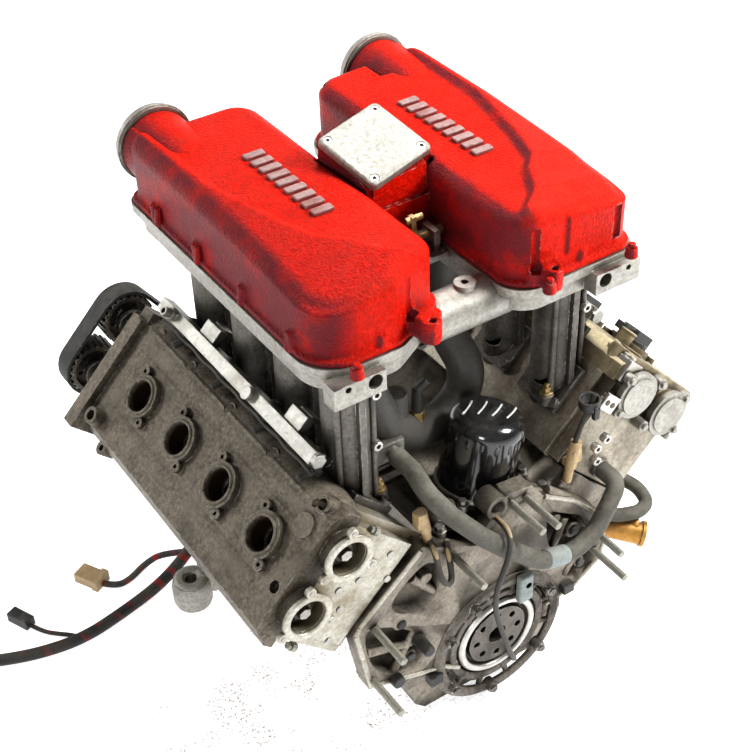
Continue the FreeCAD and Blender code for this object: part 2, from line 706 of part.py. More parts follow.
def plenum(side):
    word = "left" if side == LEFT else "right"
    base, top = SIZES["basetop"], SIZES["plenumtop"]
    body = rounded_block(bay(side, 0), base, top - base)
    crown = [edge for edge in body.Edges if edge.BoundBox.ZMin > top - 1]
    body = soft_try(body, crown, (20, 16, 12))
    x, z, wide = -side * SIZES["snoutx"], SIZES["snoutz"], SIZES["snout"]
    along = Vector(0, 1, 0)
    snout = Part.makeCylinder(wide, SIZES["snoutend"] - 400, Vector(x, 400, z), along)
    lip = rounded_block(bay(side, 5), base, 7)
    shape = body.fuse([snout, lip])
    for y in (92, 190, 290, 388):
        shape = shape.fuse(Part.makeCylinder(6, 24, Vector(-side * 201, y, base)))
    for x in (62, 128):
        shape = shape.fuse(Part.makeCylinder(6.5, 20, Vector(-side * x, 42, base)))
    ear = Part.makeBox(24, 26, 26, Vector(-side * 78 - 12, 26, base))
    ear = ear.fuse(Part.makeCylinder(11, 26, Vector(-side * 78, 27, base)))
    shape = shape.fuse(ear)
    inner = rounded_block(bay(side, -5), base - 1, 53)
    inner = inner.fuse(rounded_block(
        [(-side * 128, 440, 10), (-side * 128, 80, 10), (-side * 50, 80, 10),
         (-side * 50, 440, 10)], base + 40, 42))
    inner = inner.fuse(Part.makeCylinder(wide - 4, 100, Vector(x, 400, z), along))
    shape = shape.cut(inner)
    for x in (104,):
        shape = shape.cut(Part.makeCylinder(7, 62, Vector(-side * x, 36, base + 22)))
    for y in (330,):
        shape = shape.cut(Part.makeCylinder(7, 62, Vector(-side * 36, y, base + 22)))
    shape = shape.cut(Part.makeCylinder(4, 30, Vector(-side * 78, 25, base + 4)))
    pocket = cover_block(47, 47, 60, -46)
    return node(word + "_plenum", coded(shape.cut(pocket).removeSplitter(), "plenum"))


def soft_try(shape, edges, radii):
    """Fillet with the largest of a few radii the kernel accepts."""
    for radius in radii:
        try:
            result = shape.makeFillet(radius, edges)
        except Exception:
            continue
        if result.isValid() and result.Volume > 0.8 * shape.Volume:
            return result
    return shape


def cover_place():
    return Placement(Vector(0, 241, 566), Rotation(10, -8, 16))


def cover_block(half_x, half_y, depth, low):
    """Block square to the tilted lid between the plenums."""
    shape = Part.makeBox(2 * half_x, 2 * half_y, depth, Vector(-half_x, -half_y, low))
    shape.Placement = cover_place()
    return shape


def intake_base(side):
    word = "left" if side == LEFT else "right"
    low, top = SIZES["baselow"], SIZES["basetop"]
    shift = 0 if side == LEFT else SIZES["stagger"]
    shape = rounded_block(bay(side, 7), top - 11, 11)
    shape = shape.fuse(rounded_block(bay(side, -2), low + 8, top - 10 - low - 8))
    x = -side * SIZES["runnerx"]
    for i in CYLS:
        y = 78 + 94 * i + shift
        shape = shape.fuse(Part.makeCylinder(31, 30, Vector(x, y, low)))
    wide = Part.makeBox(62, 20, 26, Vector(min(-side * 198, -side * 136), 22, top - 34))
    shape = shape.fuse(wide)
    for i in CYLS:
        y = 78 + 94 * i + shift
        shape = shape.cut(Part.makeCylinder(21, 80, Vector(x, y, low - 5)))
    shape = shape.cut(Part.makeCylinder(8.5, 17, Vector(-side * 149, 20, top - 18), Vector(0, 1, 0)))
    shape = shape.cut(Part.makeCylinder(3.6, 17, Vector(-side * 181, 20, top - 14), Vector(0, 1, 0)))
    return node(word + "_intake_base", coded(shape.removeSplitter(), "base"))


def runners(side):
    """Four upright ducts that end in flanges on the sloping face of a head."""
    shift = 0 if side == LEFT else SIZES["stagger"]
    seat = Placement(Vector(0, shift, 0), bank_turn(side))
    x, size, face = -side * SIZES["runnerx"], SIZES["runner"], SIZES["headin"]
    up = Vector(0, 0, 1)

    def leaned(shape):
        shape.Placement = seat.multiply(shape.Placement)
        return shape

    def across(near, wide, y, long, low, high):
        start = side * near if side > 0 else side * near - wide
        return leaned(Part.makeBox(wide, long, high, Vector(start, y, low)))

    ducts = []
    for i in CYLS:
        y = 70 + 94 * i
        duct = Part.makeCylinder(size, SIZES["baselow"] - 220, Vector(x, y + 8 + shift, 220), up)
        rib = Part.makeBox(8, 16, SIZES["baselow"] - 240, Vector(x - 4, y - 26 + shift, 240))
        rail_x, rail_z = SIZES["railin"], SIZES["railheight"]
        start = Vector(*bank_point(side, rail_x, y + 8, rail_z - 28))
        end = Vector(*bank_point(side, rail_x, y + 8, rail_z - 50))
        boss = Part.makeCylinder(10.5, (end - start).Length, start, end - start)
        duct = duct.fuse([rib, boss])
        duct = duct.cut(across(face - 300, 300, y - 60, 160, 100, 500))
        foot = across(face, 9, y - 30, 68, 262, 62)
        duct = duct.fuse(foot)
        for dy, high in ((-24, 272), (32, 316)):
            spot = Vector(*bank_point(side, face + 9, y + dy, high))
            way = Vector(*bank_point(side, face + 15, y + dy, high)) - spot
            duct = duct.fuse(Part.makeCylinder(6.5, 6, spot, way))
        duct = duct.cut(Part.makeCylinder(size - 5, 220, Vector(x, y + 8 + shift, 262), up))
        mouth = Vector(*bank_point(side, face - 2, y, 295))
        inside = Vector(*bank_point(side, face + 24, y + 6, 297))
        duct = duct.cut(Part.makeCylinder(17, (inside - mouth).Length, mouth, inside - mouth))
        high = Vector(*bank_point(side, rail_x, y + 8, rail_z))
        duct = duct.cut(Part.makeCylinder(7.06, 88, high, end - start))
        duct = duct.cut(Part.makeCylinder(10.3, 20, high, end - start))
        ducts.append(duct)
    return coded(Part.makeCompound(ducts), "ducts")


def inlet_rings():
    rings = []
    for side in (-1, 1):
        x = D["snoutx"] * side
        outer = fuse(rod(D["snout"] + 2, 12, x, D["snoutend"], D["snoutz"]),
                     rod(D["snout"] + 4, 3, x, D["snoutend"] + 2, D["snoutz"]))
        rings.append(cut(outer, rod(D["snout"] - 4, 30, x, D["snoutend"] - 5, D["snoutz"])))
    return node("inlet_rings", fuse(*rings))


def centre_box():
    tall = Part.makeBox(78, 84, 96, Vector(-39, 199, 462))
    bridge = Part.makeBox(80, 92, 44, Vector(-40, 195, 470))
    top = cover_block(43, 43, 42, -47)
    shape = tall.common(cover_block(60, 60, 200, -206).fuse(Part.makeBox(2, 2, 2, Vector(0, 241, 480))))
    shape = shape.fuse([bridge, top])
    around = [nodes[word + part].Shape for word in ("left_", "right_")
              for part in ("plenum", "intake_base")]
    shape = shape.cut(around).removeSplitter()
    upright_edges = [e for e in shape.Edges if abs(e.tangentAt(e.FirstParameter).z) > 0.9]
    shape = soft_try(shape, upright_edges, (8, 5, 3))
    hollow = cover_block(34, 34, 60, -54).fuse(Part.makeBox(90, 52, 28, Vector(-45, 214, 478)))
    shape = shape.cut(hollow)
    for sx in (-36, 36):
        for sy in (-36, 36):
            hole = Part.makeCylinder(3, 20, Vector(sx, sy, -20))
            hole.Placement = cover_place()
            shape = shape.cut(hole)
    node("centre_box", coded(shape, "box"))
    lid = Part.makeBox(90, 90, 9, Vector(-45, -45, -5))
    lid = lid.makeFillet(7, [e for e in lid.Edges if abs(e.tangentAt(0).z) > 0.9])
    rim = [e for e in lid.Edges if e.BoundBox.ZMin > 3.9 and e.BoundBox.ZMax > 3.9]
    lid = soft_try(lid, rim, (3, 2))
    screws = None
    for sx in (-36, 36):
        for sy in (-36, 36):
            lid = lid.cut(Part.makeCylinder(5.2, 5, Vector(sx, sy, 0)))
            lid = lid.cut(Part.makeCylinder(3, 20, Vector(sx, sy, -10)))
            screw = Part.makeCylinder(5, 3.5, Vector(sx, sy, 0))
            screw = screw.fuse(Part.makeCylinder(2.9, 20, Vector(sx, sy, -19)))
            socket = [Vector(sx + 2.4 * math.cos(math.radians(60 * k)),
                             sy + 2.4 * math.sin(math.radians(60 * k)), 1.5) for k in range(6)]
            screw = screw.cut(Part.Face(Part.makePolygon(socket + [socket[0]])).extrude(Vector(0, 0, 4)))
            screws = screw if screws is None else screws.fuse(screw)
    for name, shape in (("centre_cover", lid), ("centre_cover_screws", screws)):
        item = node(name, coded(shape, "lid"))
        item.Placement = cover_place()


def balance_pipe():
    """Cross tube between the two bases, with a flat boss on top."""
    tube = cut(rod(26, 120, -60, 84, 442, "x"), rod(22, 130, -65, 84, 442, "x"))
    lug = cut(rod(12, 8, 6, 84, 464, "z"), rod(4, 20, 6, 84, 460, "z"))
    tube = cut(tube, rod(4, 12, 6, 84, 460, "z"), nodes["left_intake_base"],
               nodes["right_intake_base"])
    return node("balance_pipe", fuse(tube, lug))


def resonance_duct():
    path = [(-92, 166, 433), (-92, 166, 412), (-102, 120, 362), (-86, 110, 305),
            (-48, 114, 268), (10, 138, 238), (52, 146, 256), (56, 142, 298), (51, 176, 330),
            (60, 196, 404), (60, 196, 433)]
    tube = bent_tube(path, 22, 40, 19)
    cap = Part.makeCylinder(14, 52, Vector(-66, 112, 283))
    ring = Part.makeTorus(12, 2, Vector(-66, 112, 335))
    return node("resonance_duct", coded(tube.fuse([cap.cut(bent_tube(path, 22, 40)), ring]), "duct"))


def rail(side):
    x, up = side * D["railin"], D["railheight"]
    bar = box(x - 8, 62, up - 8, 16, 342, 16)
    extra = []
    for i in CYLS:
        extra.append(rod(9, 6, x, cyl_y(i) + 8, up - 13, "z"))
    for y in (118, 306):
        extra.append(box(x + side * 8, y - 15, up - 8, side * 18, 30, 12))
        extra.append(box(x + side * 22, y - 12, up - 20, side * 6, 24, 14))
    extra.append(rod(6, 16, x, 372, up + 8, "z"))
    extra.append(hexagon(8.5, 6, x, 372, up + 8, "z"))
    extra.append(hexagon(9, 5, x, 57, up, "y"))
    extra.append(rod(8, 8, x, 190, up + 8, "z"))
    holes = [rod(7.06, 9, x, cyl_y(i) + 8, up - 14, "z") for i in CYLS]
    holes.append(rod(3.4, 18, x, 372, up + 8, "z"))
    return on_bank(side, cut(fuse(bar, *extra), *holes))


def injectors(side):
    parts = []
    x, up = side * D["railin"], D["railheight"]
    for i in CYLS:
        y = cyl_y(i) + 8
        parts += [rod(7, 42, x, y, up - 48, "z"), rod(10, 4, x, y, up - 18, "z"),
                  box(x, y - 6, up - 27, side * -14, 12, 9),
                  box(x - side * 12, y - 8, up - 28, side * -8, 16, 12),
                  rod(2.2, 18, x - side * 16, y, up - 40, "z")]
    return on_bank(side, fuse(*parts))


FILTER_FOOT, FILTER_TOP = Vector(12, 70, 196), Vector(36, 70, 293)


def oil_filter():
    lean = FILTER_TOP - FILTER_FOOT
    way = lean / lean.Length
    spot = [tuple(FILTER_FOOT + way * far) for far in (0, 5, 88, 97)]
    direction = tuple(way)
    can = cut(rod(D["filterr"], 88, *spot[0], direction), rod(30, 5, *spot[0], direction))
    parts = [can, cone(45, 36, 6, *spot[2], direction)]
    parts.append(rod(36, 3, *tuple(FILTER_FOOT + way * 93), direction))
    parts.append(rod(46.5, 5, *spot[1], direction))
    node("oil_filter", fuse(*parts))
    base = rod(40, 20, *tuple(FILTER_FOOT - way * 20), direction)
    seat = rod(46, 7, *tuple(FILTER_FOOT - way * 7), direction)
    spigot = rod(29.5, 4.9, *spot[0], direction)
    body = box(-30, 36, 166, 70, 76, 22)
    arm = box(-60, 30, 166, 44, 36, 16)
    pad = box(-40, 22, 166, 80, 14, 14)
    neck = rod(12, 34, -48, 43, 176, "z")
    bolt = hexagon(8, 10, -52, 60, 178, "z")
    solid = cut(fuse(base, seat, body, arm, pad, neck, bolt), box(-80, 20, 100, 200, 120, 66))
    solid = fuse(solid, spigot)
    tools = [rod(8, 20, -48, 43, 196, "z")]
    return node("filter_housing", cut(solid, *tools))


def hoses():
    main = [(-92, 74, 285), (-92, 40, 285), (-93, 16, 274), (-78, -8, 250), (-45, -22, 210), (-13, -24, 175),
            (41, -24, 123), (92, -22, 106), (128, -19, 116), (152, -13, 142), (172, -6, 162),
            (172, 24, 162)]
    node("coolant_hose", coded(bent_tube(main, 11, 40, 8), "hose"))
    loop = [(228.4, 74, 94), (246, 74, 76.4), (262, 46, 66), (258, 24, 60), (240, 18, 58),
            (214, 26, 60), (196, 36, 64.2), (181, 36, 79.2)]
    node("heater_hose", coded(bent_tube(loop, 9, 30, 6), "hose"))
    inner = Part.makeCylinder(7.9, 32, Vector(-92, 62, 285), Vector(0, 1, 0))
    block = Part.makeBox(58, 26, 24, Vector(-134, 82, 273))
    block = block.cut(Part.makeCylinder(SIZES["runner"], 40, Vector(-SIZES["runnerx"], 78, 265)))
    lower = Part.makeCylinder(7.9, 16, Vector(172, 14, 162), Vector(0, 1, 0))
    lower = lower.fuse(Part.makeCylinder(12.5, 6, Vector(172, 24, 162), Vector(0, 1, 0)))
    outward = Vector(1, 0, -1)
    upper = Part.makeCylinder(5.9, 16, Vector(*bank_point(RIGHT, -88, 50, 228)), outward)
    upper = upper.fuse(Part.makeCylinder(10, 5, Vector(*bank_point(RIGHT, -88, 50, 228)), outward))
    drain = Part.makeCylinder(5.9, 18, Vector(*bank_point(RIGHT, -66, 12, 184)), outward)
    drain = drain.fuse(Part.makeCylinder(10, 5, Vector(*bank_point(RIGHT, -66, 12, 184)), outward))
    fittings = Part.makeCompound([inner.fuse(block), lower, upper, drain])
    node("water_fittings", coded(fittings, "water"))
    foot = Vector(*bank_point(RIGHT, -66, 34, 158))
    start = foot + outward * 3
    path = [tuple(start), tuple(start + outward * 16), (203, 40, 37), (240, 8, 26)]
    elbow = bent_tube(path, 15, 18, 12)
    way = Vector(37, -32, -11).normalize()
    lip = Part.makeCylinder(17, 5, Vector(240, 8, 26) - way * 4, way)
    elbow = elbow.fuse(lip.cut(Part.makeCylinder(12, 9, Vector(240, 8, 26) - way * 6, way)))
    flange = Part.makeCylinder(21, 8, foot, outward)
    flange = flange.cut(Part.makeCylinder(12, 20, foot - outward * 4, outward))
    return node("outlet_elbow", coded(elbow.fuse(flange), "elbow"))


def engine_mount(side):
    x = -side
    pad = box(x * 118, 296, -44, x * 14, 70, 58)
    arm = link((x * 126, 331, -14), (x * 246, 331, -52), 17)
    rib = box(x * 126, 325, -40, x * 110, 12, 30)
    boss = rod(24, 40, x * 250, 331, -76, "z")
    bolts = [hexagon(9, 7, x * 132, 331 + dy, -14 + dz, "x" if x > 0 else "-x")
             for dy, dz in ((-26, 18), (26, 18), (-26, -20), (26, -20))]
    solid = fuse(pad, arm, rib, boss, *bolts)
    return cut(solid, rod(8, 60, x * 250, 331, -90, "z"))


def linkage():
    plinth = fuse(box(-33, 150, 457, 66, 40, 7), box(-20, 158, 464, 8, 24, 26),
                  box(20, 158, 464, 8, 24, 26))
    seat = cut(plinth, rod(4.04, 80, -30, 170, 482, "x"))
    screws = [rod(3, 6, x, y, 460, "z") for x, y in ((-26, 156), (30, 156), (-26, 184), (30, 184))]
    node("bypass_bracket", fuse(seat, *screws))
    shaft = rod(4, 64, -26, 170, 482, "x")
    drum = rod(13, 10, -6, 170, 482, "x")
    arm = box(-4, 166, 482, 6, 8, 30)
    pin = rod(4, 22, -10, 170, 508, "x")
    nut = hexagon(6, 5, 33, 170, 482, "x")
    return node("bypass_lever", fuse(shaft, drum, arm, pin, nut))


def sensors():
    """Two cable plugs held by clips at the rear, and the thin lead that hangs in front."""
    items = [link((-95, 10, 203), (-101, 10, 240), 5.5), link((-99, 10, 226), (-105, 10, 257), 7),
             box(-112, 4, 236, 12, 12, 20), link((110, 17, 182), (116, 17, 214), 5.5),
             link((114, 17, 202), (121, 17, 238), 7), box(112, 20, 198, 10, 10, 10),
             box(113, 11, 210, 12, 12, 18)]
    cable = bent_tube([(-12, -2.8, 208), (-12, -32, 208), (-24, -45, 184), (-38, -42, 140),
                       (-34, -36, 96),
                       (-18, -31, 44), (2, -26, -16), (22, -10, -52), (27.5, 6, -66.5)], 2.6)
    loop = bent_tube([(-95, 10, 212), (-100, -12, 206), (-104, -24, 186), (-94, -26, 164),
                      (-82, -18, 164), (-80, -8, 188), (-74, 6, 200)], 3)
    solid = fuse(*(items + [coded(cable, "cable"), coded(loop, "loop")]))
    return node("sensors", cut(solid, nodes["engine_block"], nodes["rear_seal_carrier"]))


# ---------------------------------------------------------------- cords
FLOOR = SIZES["sumpfloor"]


TRUNK = [(-138, 438, -31), (-172, 424, -40), (-216, 408, -70), (-268, 396, -91.8),
         (-330, 380, -91.8), (-394, 368, -91.8), (-452, 377, -91.8), (-506, 398, -91.8),
         (-558, 421, -91.8), (-612, 438, -91.8)]
COIL = Vector(-643, 356, FLOOR)
LONG_BRANCH = [(-216, 408, -70), (-242, 440, -84), (-268, 446, -95.3), (-296, 432, -95.3),
               (-318, 430, -95.3), (-331, 446, -95.3)]
SHORT_BRANCH = [(-394, 368, -94), (-402, 384, -96.8), (-418, 398, -96.8), (-434, 414, -96.8),
                (-443, 434, -96.8)]


def turned_box(x, y, low, length, wide, high, heading):
    """Box lying on its length, turned about Z, starting at a point."""
    shape = Part.makeBox(length, wide, high, Vector(0, -wide / 2, 0))
    shape.Placement = Placement(Vector(x, y, low), Rotation(heading, 0, 0))
    return shape


def cords():
    trunk = bent_tube(TRUNK, 8)
    ring = Part.makeCylinder(104, 16, COIL).cut(Part.makeCylinder(72, 18, COIL - Vector(0, 0, 1)))
    trunk = trunk.cut(ring)
    node("harness_trunk", coded(trunk, "trunk"))
    node("harness_coil", coded(ring, "coil"))
    a = COIL + Vector(-57, -43, 8.2)
    b = COIL + Vector(-26, -32, 8.2)
    way = b - a
    tail = Part.makeCylinder(8, way.Length, a, way).cut(ring)
    c = COIL + Vector(-26, -32, 16)
    body = Part.makeCylinder(16, 46, c, way).fuse(Part.makeCylinder(14, 58, c, way))
    node("harness_end_plug", coded(tail.fuse(body), "plug"))
    long_one = bent_tube(LONG_BRANCH, 4.5).cut(trunk)
    node("harness_long_branch", coded(long_one, "branch"))
    block = turned_box(-331, 446, FLOOR, 40, 24, 15, 118)
    block = block.fuse(turned_box(-331, 446, FLOOR, 10, 28, 17, 118)).cut(long_one)
    node("pale_connector", coded(block, "pale"))
    short_one = bent_tube(SHORT_BRANCH, 3).cut(trunk)
    node("harness_short_branch", coded(short_one, "branch"))
    block = turned_box(-443, 434, FLOOR, 34, 16, 14, 114)
    block = block.fuse(turned_box(-443, 434, FLOOR, 14, 12, 15.5, 114)).cut(short_one)
    node("black_connector", coded(block, "black"))


# ---------------------------------------------------------------- build and write
def build_all():
    engine_block()
    cylinder_liners()
    main_bearings()
    sump()
    seal_carrier()
    rear_studs()
    crankshaft()
    crank_pulley()
    timing_case()
    for side in (LEFT, RIGHT):
        head(side)
        cam_cover(side)
        jackshaft(side)
        belt(side)
        plenum(side)
        intake_base(side)
        for inner in (1, -1):
            camshaft(side, inner)
        for pair in ((0, 3), (1, 2)):
            pistons(side, pair)
    doc.recompute()
    end_covers()
    head_gaskets()
    spark_plugs()
    coils()
    inlet_rings()
    centre_box()
    balance_pipe()
    resonance_duct()
    oil_filter()
    hoses()
    linkage()
    sensors()
    cords()
    for name, builder in (("intake_runners", runners), ("fuel_rails", rail),
                          ("injectors", injectors), ("engine_mounts", engine_mount)):
        pair = make("Part::Compound", "pair")
        pair.Links = [builder(LEFT), builder(RIGHT)]
        node(name, pair)


def write_all():
    doc.recompute()
    for item in doc.Objects:
        bad = [word for word in item.State if word in ("Invalid", "Error")]
        if bad:
            raise RuntimeError("%s is %s" % (item.Label, bad))
    os.makedirs("parts", exist_ok=True)
    wrong = [name for name, item in nodes.items()
             if item.Shape.isNull() or not item.Shape.isValid() or not item.Shape.Solids]
    if wrong:
        raise RuntimeError("no valid solid in " + ", ".join(wrong))
    for name, item in nodes.items():
        item.Shape.exportStep("parts/%s.step" % name)
    print("wrote", len(nodes), "pieces")
    print("cord radii in mm: trunk 8, long branch 4.5, short branch 3")


build_all()
write_all()
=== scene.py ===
# %% [markdown]
# # A V8 engine on a pale floor
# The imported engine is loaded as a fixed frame: every casting is already in its place, in metres,
# with +Y from the flywheel end to the belt end and +Z up. The cells below add the light, the
# wiring, the finishes and the pieces whose shape is too soft or too fine for the solids.

import math

import bmesh
import bpy
from mathutils import Matrix, Vector


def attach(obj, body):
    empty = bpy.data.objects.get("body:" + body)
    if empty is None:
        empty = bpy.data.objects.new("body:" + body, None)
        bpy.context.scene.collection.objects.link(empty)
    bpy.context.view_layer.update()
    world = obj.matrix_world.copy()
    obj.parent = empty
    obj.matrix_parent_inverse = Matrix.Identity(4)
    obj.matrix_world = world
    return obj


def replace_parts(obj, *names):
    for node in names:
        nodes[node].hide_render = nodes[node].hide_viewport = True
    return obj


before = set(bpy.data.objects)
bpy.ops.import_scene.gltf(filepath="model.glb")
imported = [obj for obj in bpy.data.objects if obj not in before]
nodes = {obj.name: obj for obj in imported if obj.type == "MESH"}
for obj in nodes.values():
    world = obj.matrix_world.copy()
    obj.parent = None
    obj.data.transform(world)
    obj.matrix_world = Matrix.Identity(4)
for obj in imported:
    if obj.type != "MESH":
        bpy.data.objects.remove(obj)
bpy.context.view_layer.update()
print("pieces from the frame:", len(nodes))


def linked(name, data):
    """New object of the scene."""
    thing = bpy.data.objects.new(name, data)
    bpy.context.scene.collection.objects.link(thing)
    return thing


# %% [markdown]
# ## Camera
# A long lens stands high behind the left corner of the flywheel end, so both red plenums, the
# oil filter and the round flange are in view. The three axes of the camera are written as the
# columns of its matrix, which is plainer than three turns.

# %% Camera
TURN, DROP, ROLL = 0.56503, 0.67299, -0.037188
back = Vector((-math.sin(TURN) * math.cos(DROP), -math.cos(TURN) * math.cos(DROP), math.sin(DROP)))
level = Vector((math.cos(TURN), -math.sin(TURN), 0))
rise = back.cross(level)
right = level * math.cos(ROLL) + rise * math.sin(ROLL)
upward = rise * math.cos(ROLL) - level * math.sin(ROLL)
camera = linked("studio_camera", bpy.data.cameras.new("studio_camera"))
camera.data.lens = 68.406
camera.data.sensor_width = 36
camera.matrix_world = Matrix.Translation((-0.743, -0.9044, 1.3349)) @ Matrix(
    (right, upward, back)).transposed().to_4x4()
bpy.context.scene.camera = camera
print("lens", camera.data.lens)

# %% [markdown]
# ## Wiring harness
# A wiring loom is a bundle of wires in tape. It leaves the block low on the left, drops to the
# floor and runs off; the rest of its length is put away in a loose coil. Each cord is one smooth
# NURBS curve through a few chosen points, with a round bevel, so it bends like something heavy.

# %% Cord routes in millimetres
FLOOR = -0.1
LOOM_EXIT = (-0.138, 0.438, -0.031)
LAID, LONG_LAID, SHORT_LAID = -91.8, -95.3, -96.8
TRUNK = [(-138, 438, -31), (-172, 424, -40), (-216, 408, -70), (-268, 396, LAID),
         (-330, 380, LAID), (-394, 368, LAID), (-452, 377, LAID), (-506, 398, LAID),
         (-558, 428, LAID)]
COIL = (-643, 356)
TAIL = [(COIL[0] - 57, COIL[1] - 43, LAID), (COIL[0] - 28, COIL[1] - 33, LAID)]
LONG_BRANCH = [(-216, 408, -70), (-242, 440, -84), (-268, 446, LONG_LAID),
               (-296, 432, LONG_LAID), (-318, 430, LONG_LAID), (-331, 446, LONG_LAID)]
SHORT_BRANCH = [(-394, 368, -94), (-402, 384, SHORT_LAID), (-418, 398, SHORT_LAID),
                (-434, 414, SHORT_LAID), (-443, 434, SHORT_LAID)]


def coil_turns(start, end, outer, inner):
    """Points of a flat coil between two angles, which tightens over its last half."""
    steps = int((end - start) / 24)
    turns = []
    for step in range(steps + 1):
        part = step / steps
        angle = math.radians(start + (end - start) * part)
        slide = min(1, max(0, (part - 0.45) / 0.4))
        reach = outer + (inner - outer) * slide
        turns.append((COIL[0] + reach * math.cos(angle), COIL[1] + reach * math.sin(angle), LAID))
    return turns


def spline_object(name, points, radius):
    """Round curve of one open spline, with the points in mm as its control points."""
    curve = bpy.data.curves.new(name, "CURVE")
    curve.dimensions = "3D"
    spline = curve.splines.new("NURBS")
    spline.points.add(len(points) - 1)
    for spot, point in zip(spline.points, points):
        spot.co = (point[0] / 1000, point[1] / 1000, point[2] / 1000, 1)
        spot.radius = radius / 1000
    spline.order_u = 3
    spline.use_endpoint_u = True
    spline.resolution_u = 10
    curve.bevel_depth = 1
    curve.bevel_resolution = 5
    curve.use_fill_caps = True
    return linked(name, curve)


trunk = spline_object("loom_trunk", TRUNK + coil_turns(76, 566, 96, 80) + TAIL, 8)
long_lead = spline_object("loom_long_lead", LONG_BRANCH, 4.5)
short_lead = spline_object("loom_short_lead", SHORT_BRANCH, 3)
for cord in (trunk, long_lead, short_lead):
    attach(cord, "engine")
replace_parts(trunk, "harness_trunk", "harness_coil")
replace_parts(long_lead, "harness_long_branch")
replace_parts(short_lead, "harness_short_branch")
print("control points of the trunk:", len(trunk.data.splines[0].points))

# %% [markdown]
# ## Studio
# Four large soft lamps give the even light of a catalogue, and a dim sky fills the shadows. The
# sky is white near the horizon, so that the floor has no visible end. The floor is a matt white
# plane with a little glow of its own. It belongs to the stage, not to the engine.

# %% Floor
FLOOR_WHITE, FLOOR_GLOW = (0.90, 0.90, 0.905, 1), 0.68
floor_mesh = bpy.data.meshes.new("studio_floor")
sheet = bmesh.new()
bmesh.ops.create_grid(sheet, x_segments=1, y_segments=1, size=60)
bmesh.ops.translate(sheet, vec=(0, 0, FLOOR - 0.0005), verts=sheet.verts)
sheet.to_mesh(floor_mesh)
sheet.free()
linked("studio_floor", floor_mesh)
floor_paint = bpy.data.materials.new("studio_white")
floor_paint.use_nodes = True
floor_shader = floor_paint.node_tree.nodes["Principled BSDF"]
floor_shader.inputs["Base Color"].default_value = FLOOR_WHITE
floor_shader.inputs["Roughness"].default_value = 0.85
floor_shader.inputs["Emission Color"].default_value = (1, 1, 1, 1)
floor_shader.inputs["Emission Strength"].default_value = FLOOR_GLOW
floor_mesh.materials.append(floor_paint)
print("floor at", FLOOR)

# %% Sky
sky = bpy.data.worlds.new("studio_sky")
sky.use_nodes = True
tree = sky.node_tree
height = tree.nodes.new("ShaderNodeSeparateXYZ")
haze = tree.nodes.new("ShaderNodeValToRGB")
haze.color_ramp.elements[0].color = (0.92, 0.93, 0.94, 1)
haze.color_ramp.elements[1].position = 0.09
haze.color_ramp.elements[1].color = (0.23, 0.235, 0.24, 1)
tree.links.new(tree.nodes.new("ShaderNodeTexCoord").outputs["Generated"], height.inputs[0])
tree.links.new(height.outputs["Z"], haze.inputs[0])
tree.links.new(haze.outputs[0], tree.nodes["Background"].inputs["Color"])
tree.nodes["Background"].inputs["Strength"].default_value = 1.0
bpy.context.scene.world = sky
bpy.context.scene.view_settings.view_transform = "Standard"
bpy.context.scene.view_settings.look = "Medium High Contrast"
print("sky nodes:", len(tree.nodes))


# %% Lamps
def lamp(name, spot, aim, size, power):
    """Square soft lamp that looks at a point; size in metres, power in watts."""
    light = bpy.data.lights.new(name, "AREA")
    light.size, light.energy = size, power
    holder = linked(name, light)
    holder.location = spot
    holder.rotation_euler = (Vector(aim) - Vector(spot)).to_track_quat("-Z", "Y").to_euler()
    print(name, power, "W")


lamp("key_lamp", (1.35, -0.6, 1.6), (0, 0.2, 0.3), 0.5, 44)
lamp("fill_lamp", (-1.6, -1.3, 1.0), (0, 0.1, 0.2), 0.5, 10)
lamp("top_lamp", (0.7, 0.9, 1.9), (0, 0.25, 0.3), 0.5, 24)
lamp("rim_lamp", (-1.5, 1.6, 1.3), (0, 0.25, 0.25), 0.6, 14)

# %% [markdown]
# ## Aged surface
# Everything on a used engine shares the same story: a base colour, dark stains in patches,
# painted shade that darkens the hollows in the stain colour, pale dust on what faces up, and
# bare metal on worn edges. That story is one shader node group. Each finish places it with its
# own colours, sizes and amounts.

# %% Helpers for shader nodes
def nodes_of(paint):
    """Node tree of a material and its shader."""
    return paint.node_tree, paint.node_tree.nodes["Principled BSDF"]


def object_space(tree):
    return tree.nodes.new("ShaderNodeTexCoord").outputs["Object"]


def feed(tree, value, target):
    """Links a socket to an input, or sets the input to a number or colour."""
    if isinstance(value, bpy.types.NodeSocket):
        tree.links.new(value, target)
    else:
        target.default_value = value


def distance_to(tree, spot):
    """Distance from a point of the object's own space."""
    away = tree.nodes.new("ShaderNodeVectorMath")
    away.operation = "DISTANCE"
    tree.links.new(object_space(tree), away.inputs[0])
    away.inputs[1].default_value = spot
    return away.outputs["Value"]


def socket(tree, name, kind, default=None, way="INPUT"):
    """New socket of a node group."""
    made = tree.interface.new_socket(name=name, in_out=way, socket_type="NodeSocket" + kind)
    if default is not None:
        made.default_value = default


def add_node(tree, kind, **values):
    """New node; keyword names are sockets with spaces written as underscores."""
    node = tree.nodes.new(kind)
    for key, value in values.items():
        if hasattr(node, key):
            setattr(node, key, value)
        else:
            feed(tree, value, node.inputs[key.replace("_", " ")])
    return node


def maths(tree, operation, one, two=0.5, clamp=False):
    """Math node; both arguments are sockets or numbers."""
    node = add_node(tree, "ShaderNodeMath", operation=operation, use_clamp=clamp)
    feed(tree, one, node.inputs[0])
    feed(tree, two, node.inputs[1])
    return node.outputs[0]


def blend(tree, amount, one, two):
    """Colour mix; every argument is a socket or a value."""
    node = add_node(tree, "ShaderNodeMix", data_type="RGBA")
    for index, value in ((0, amount), (6, one), (7, two)):
        feed(tree, value, node.inputs[index])
    return node.outputs[2]


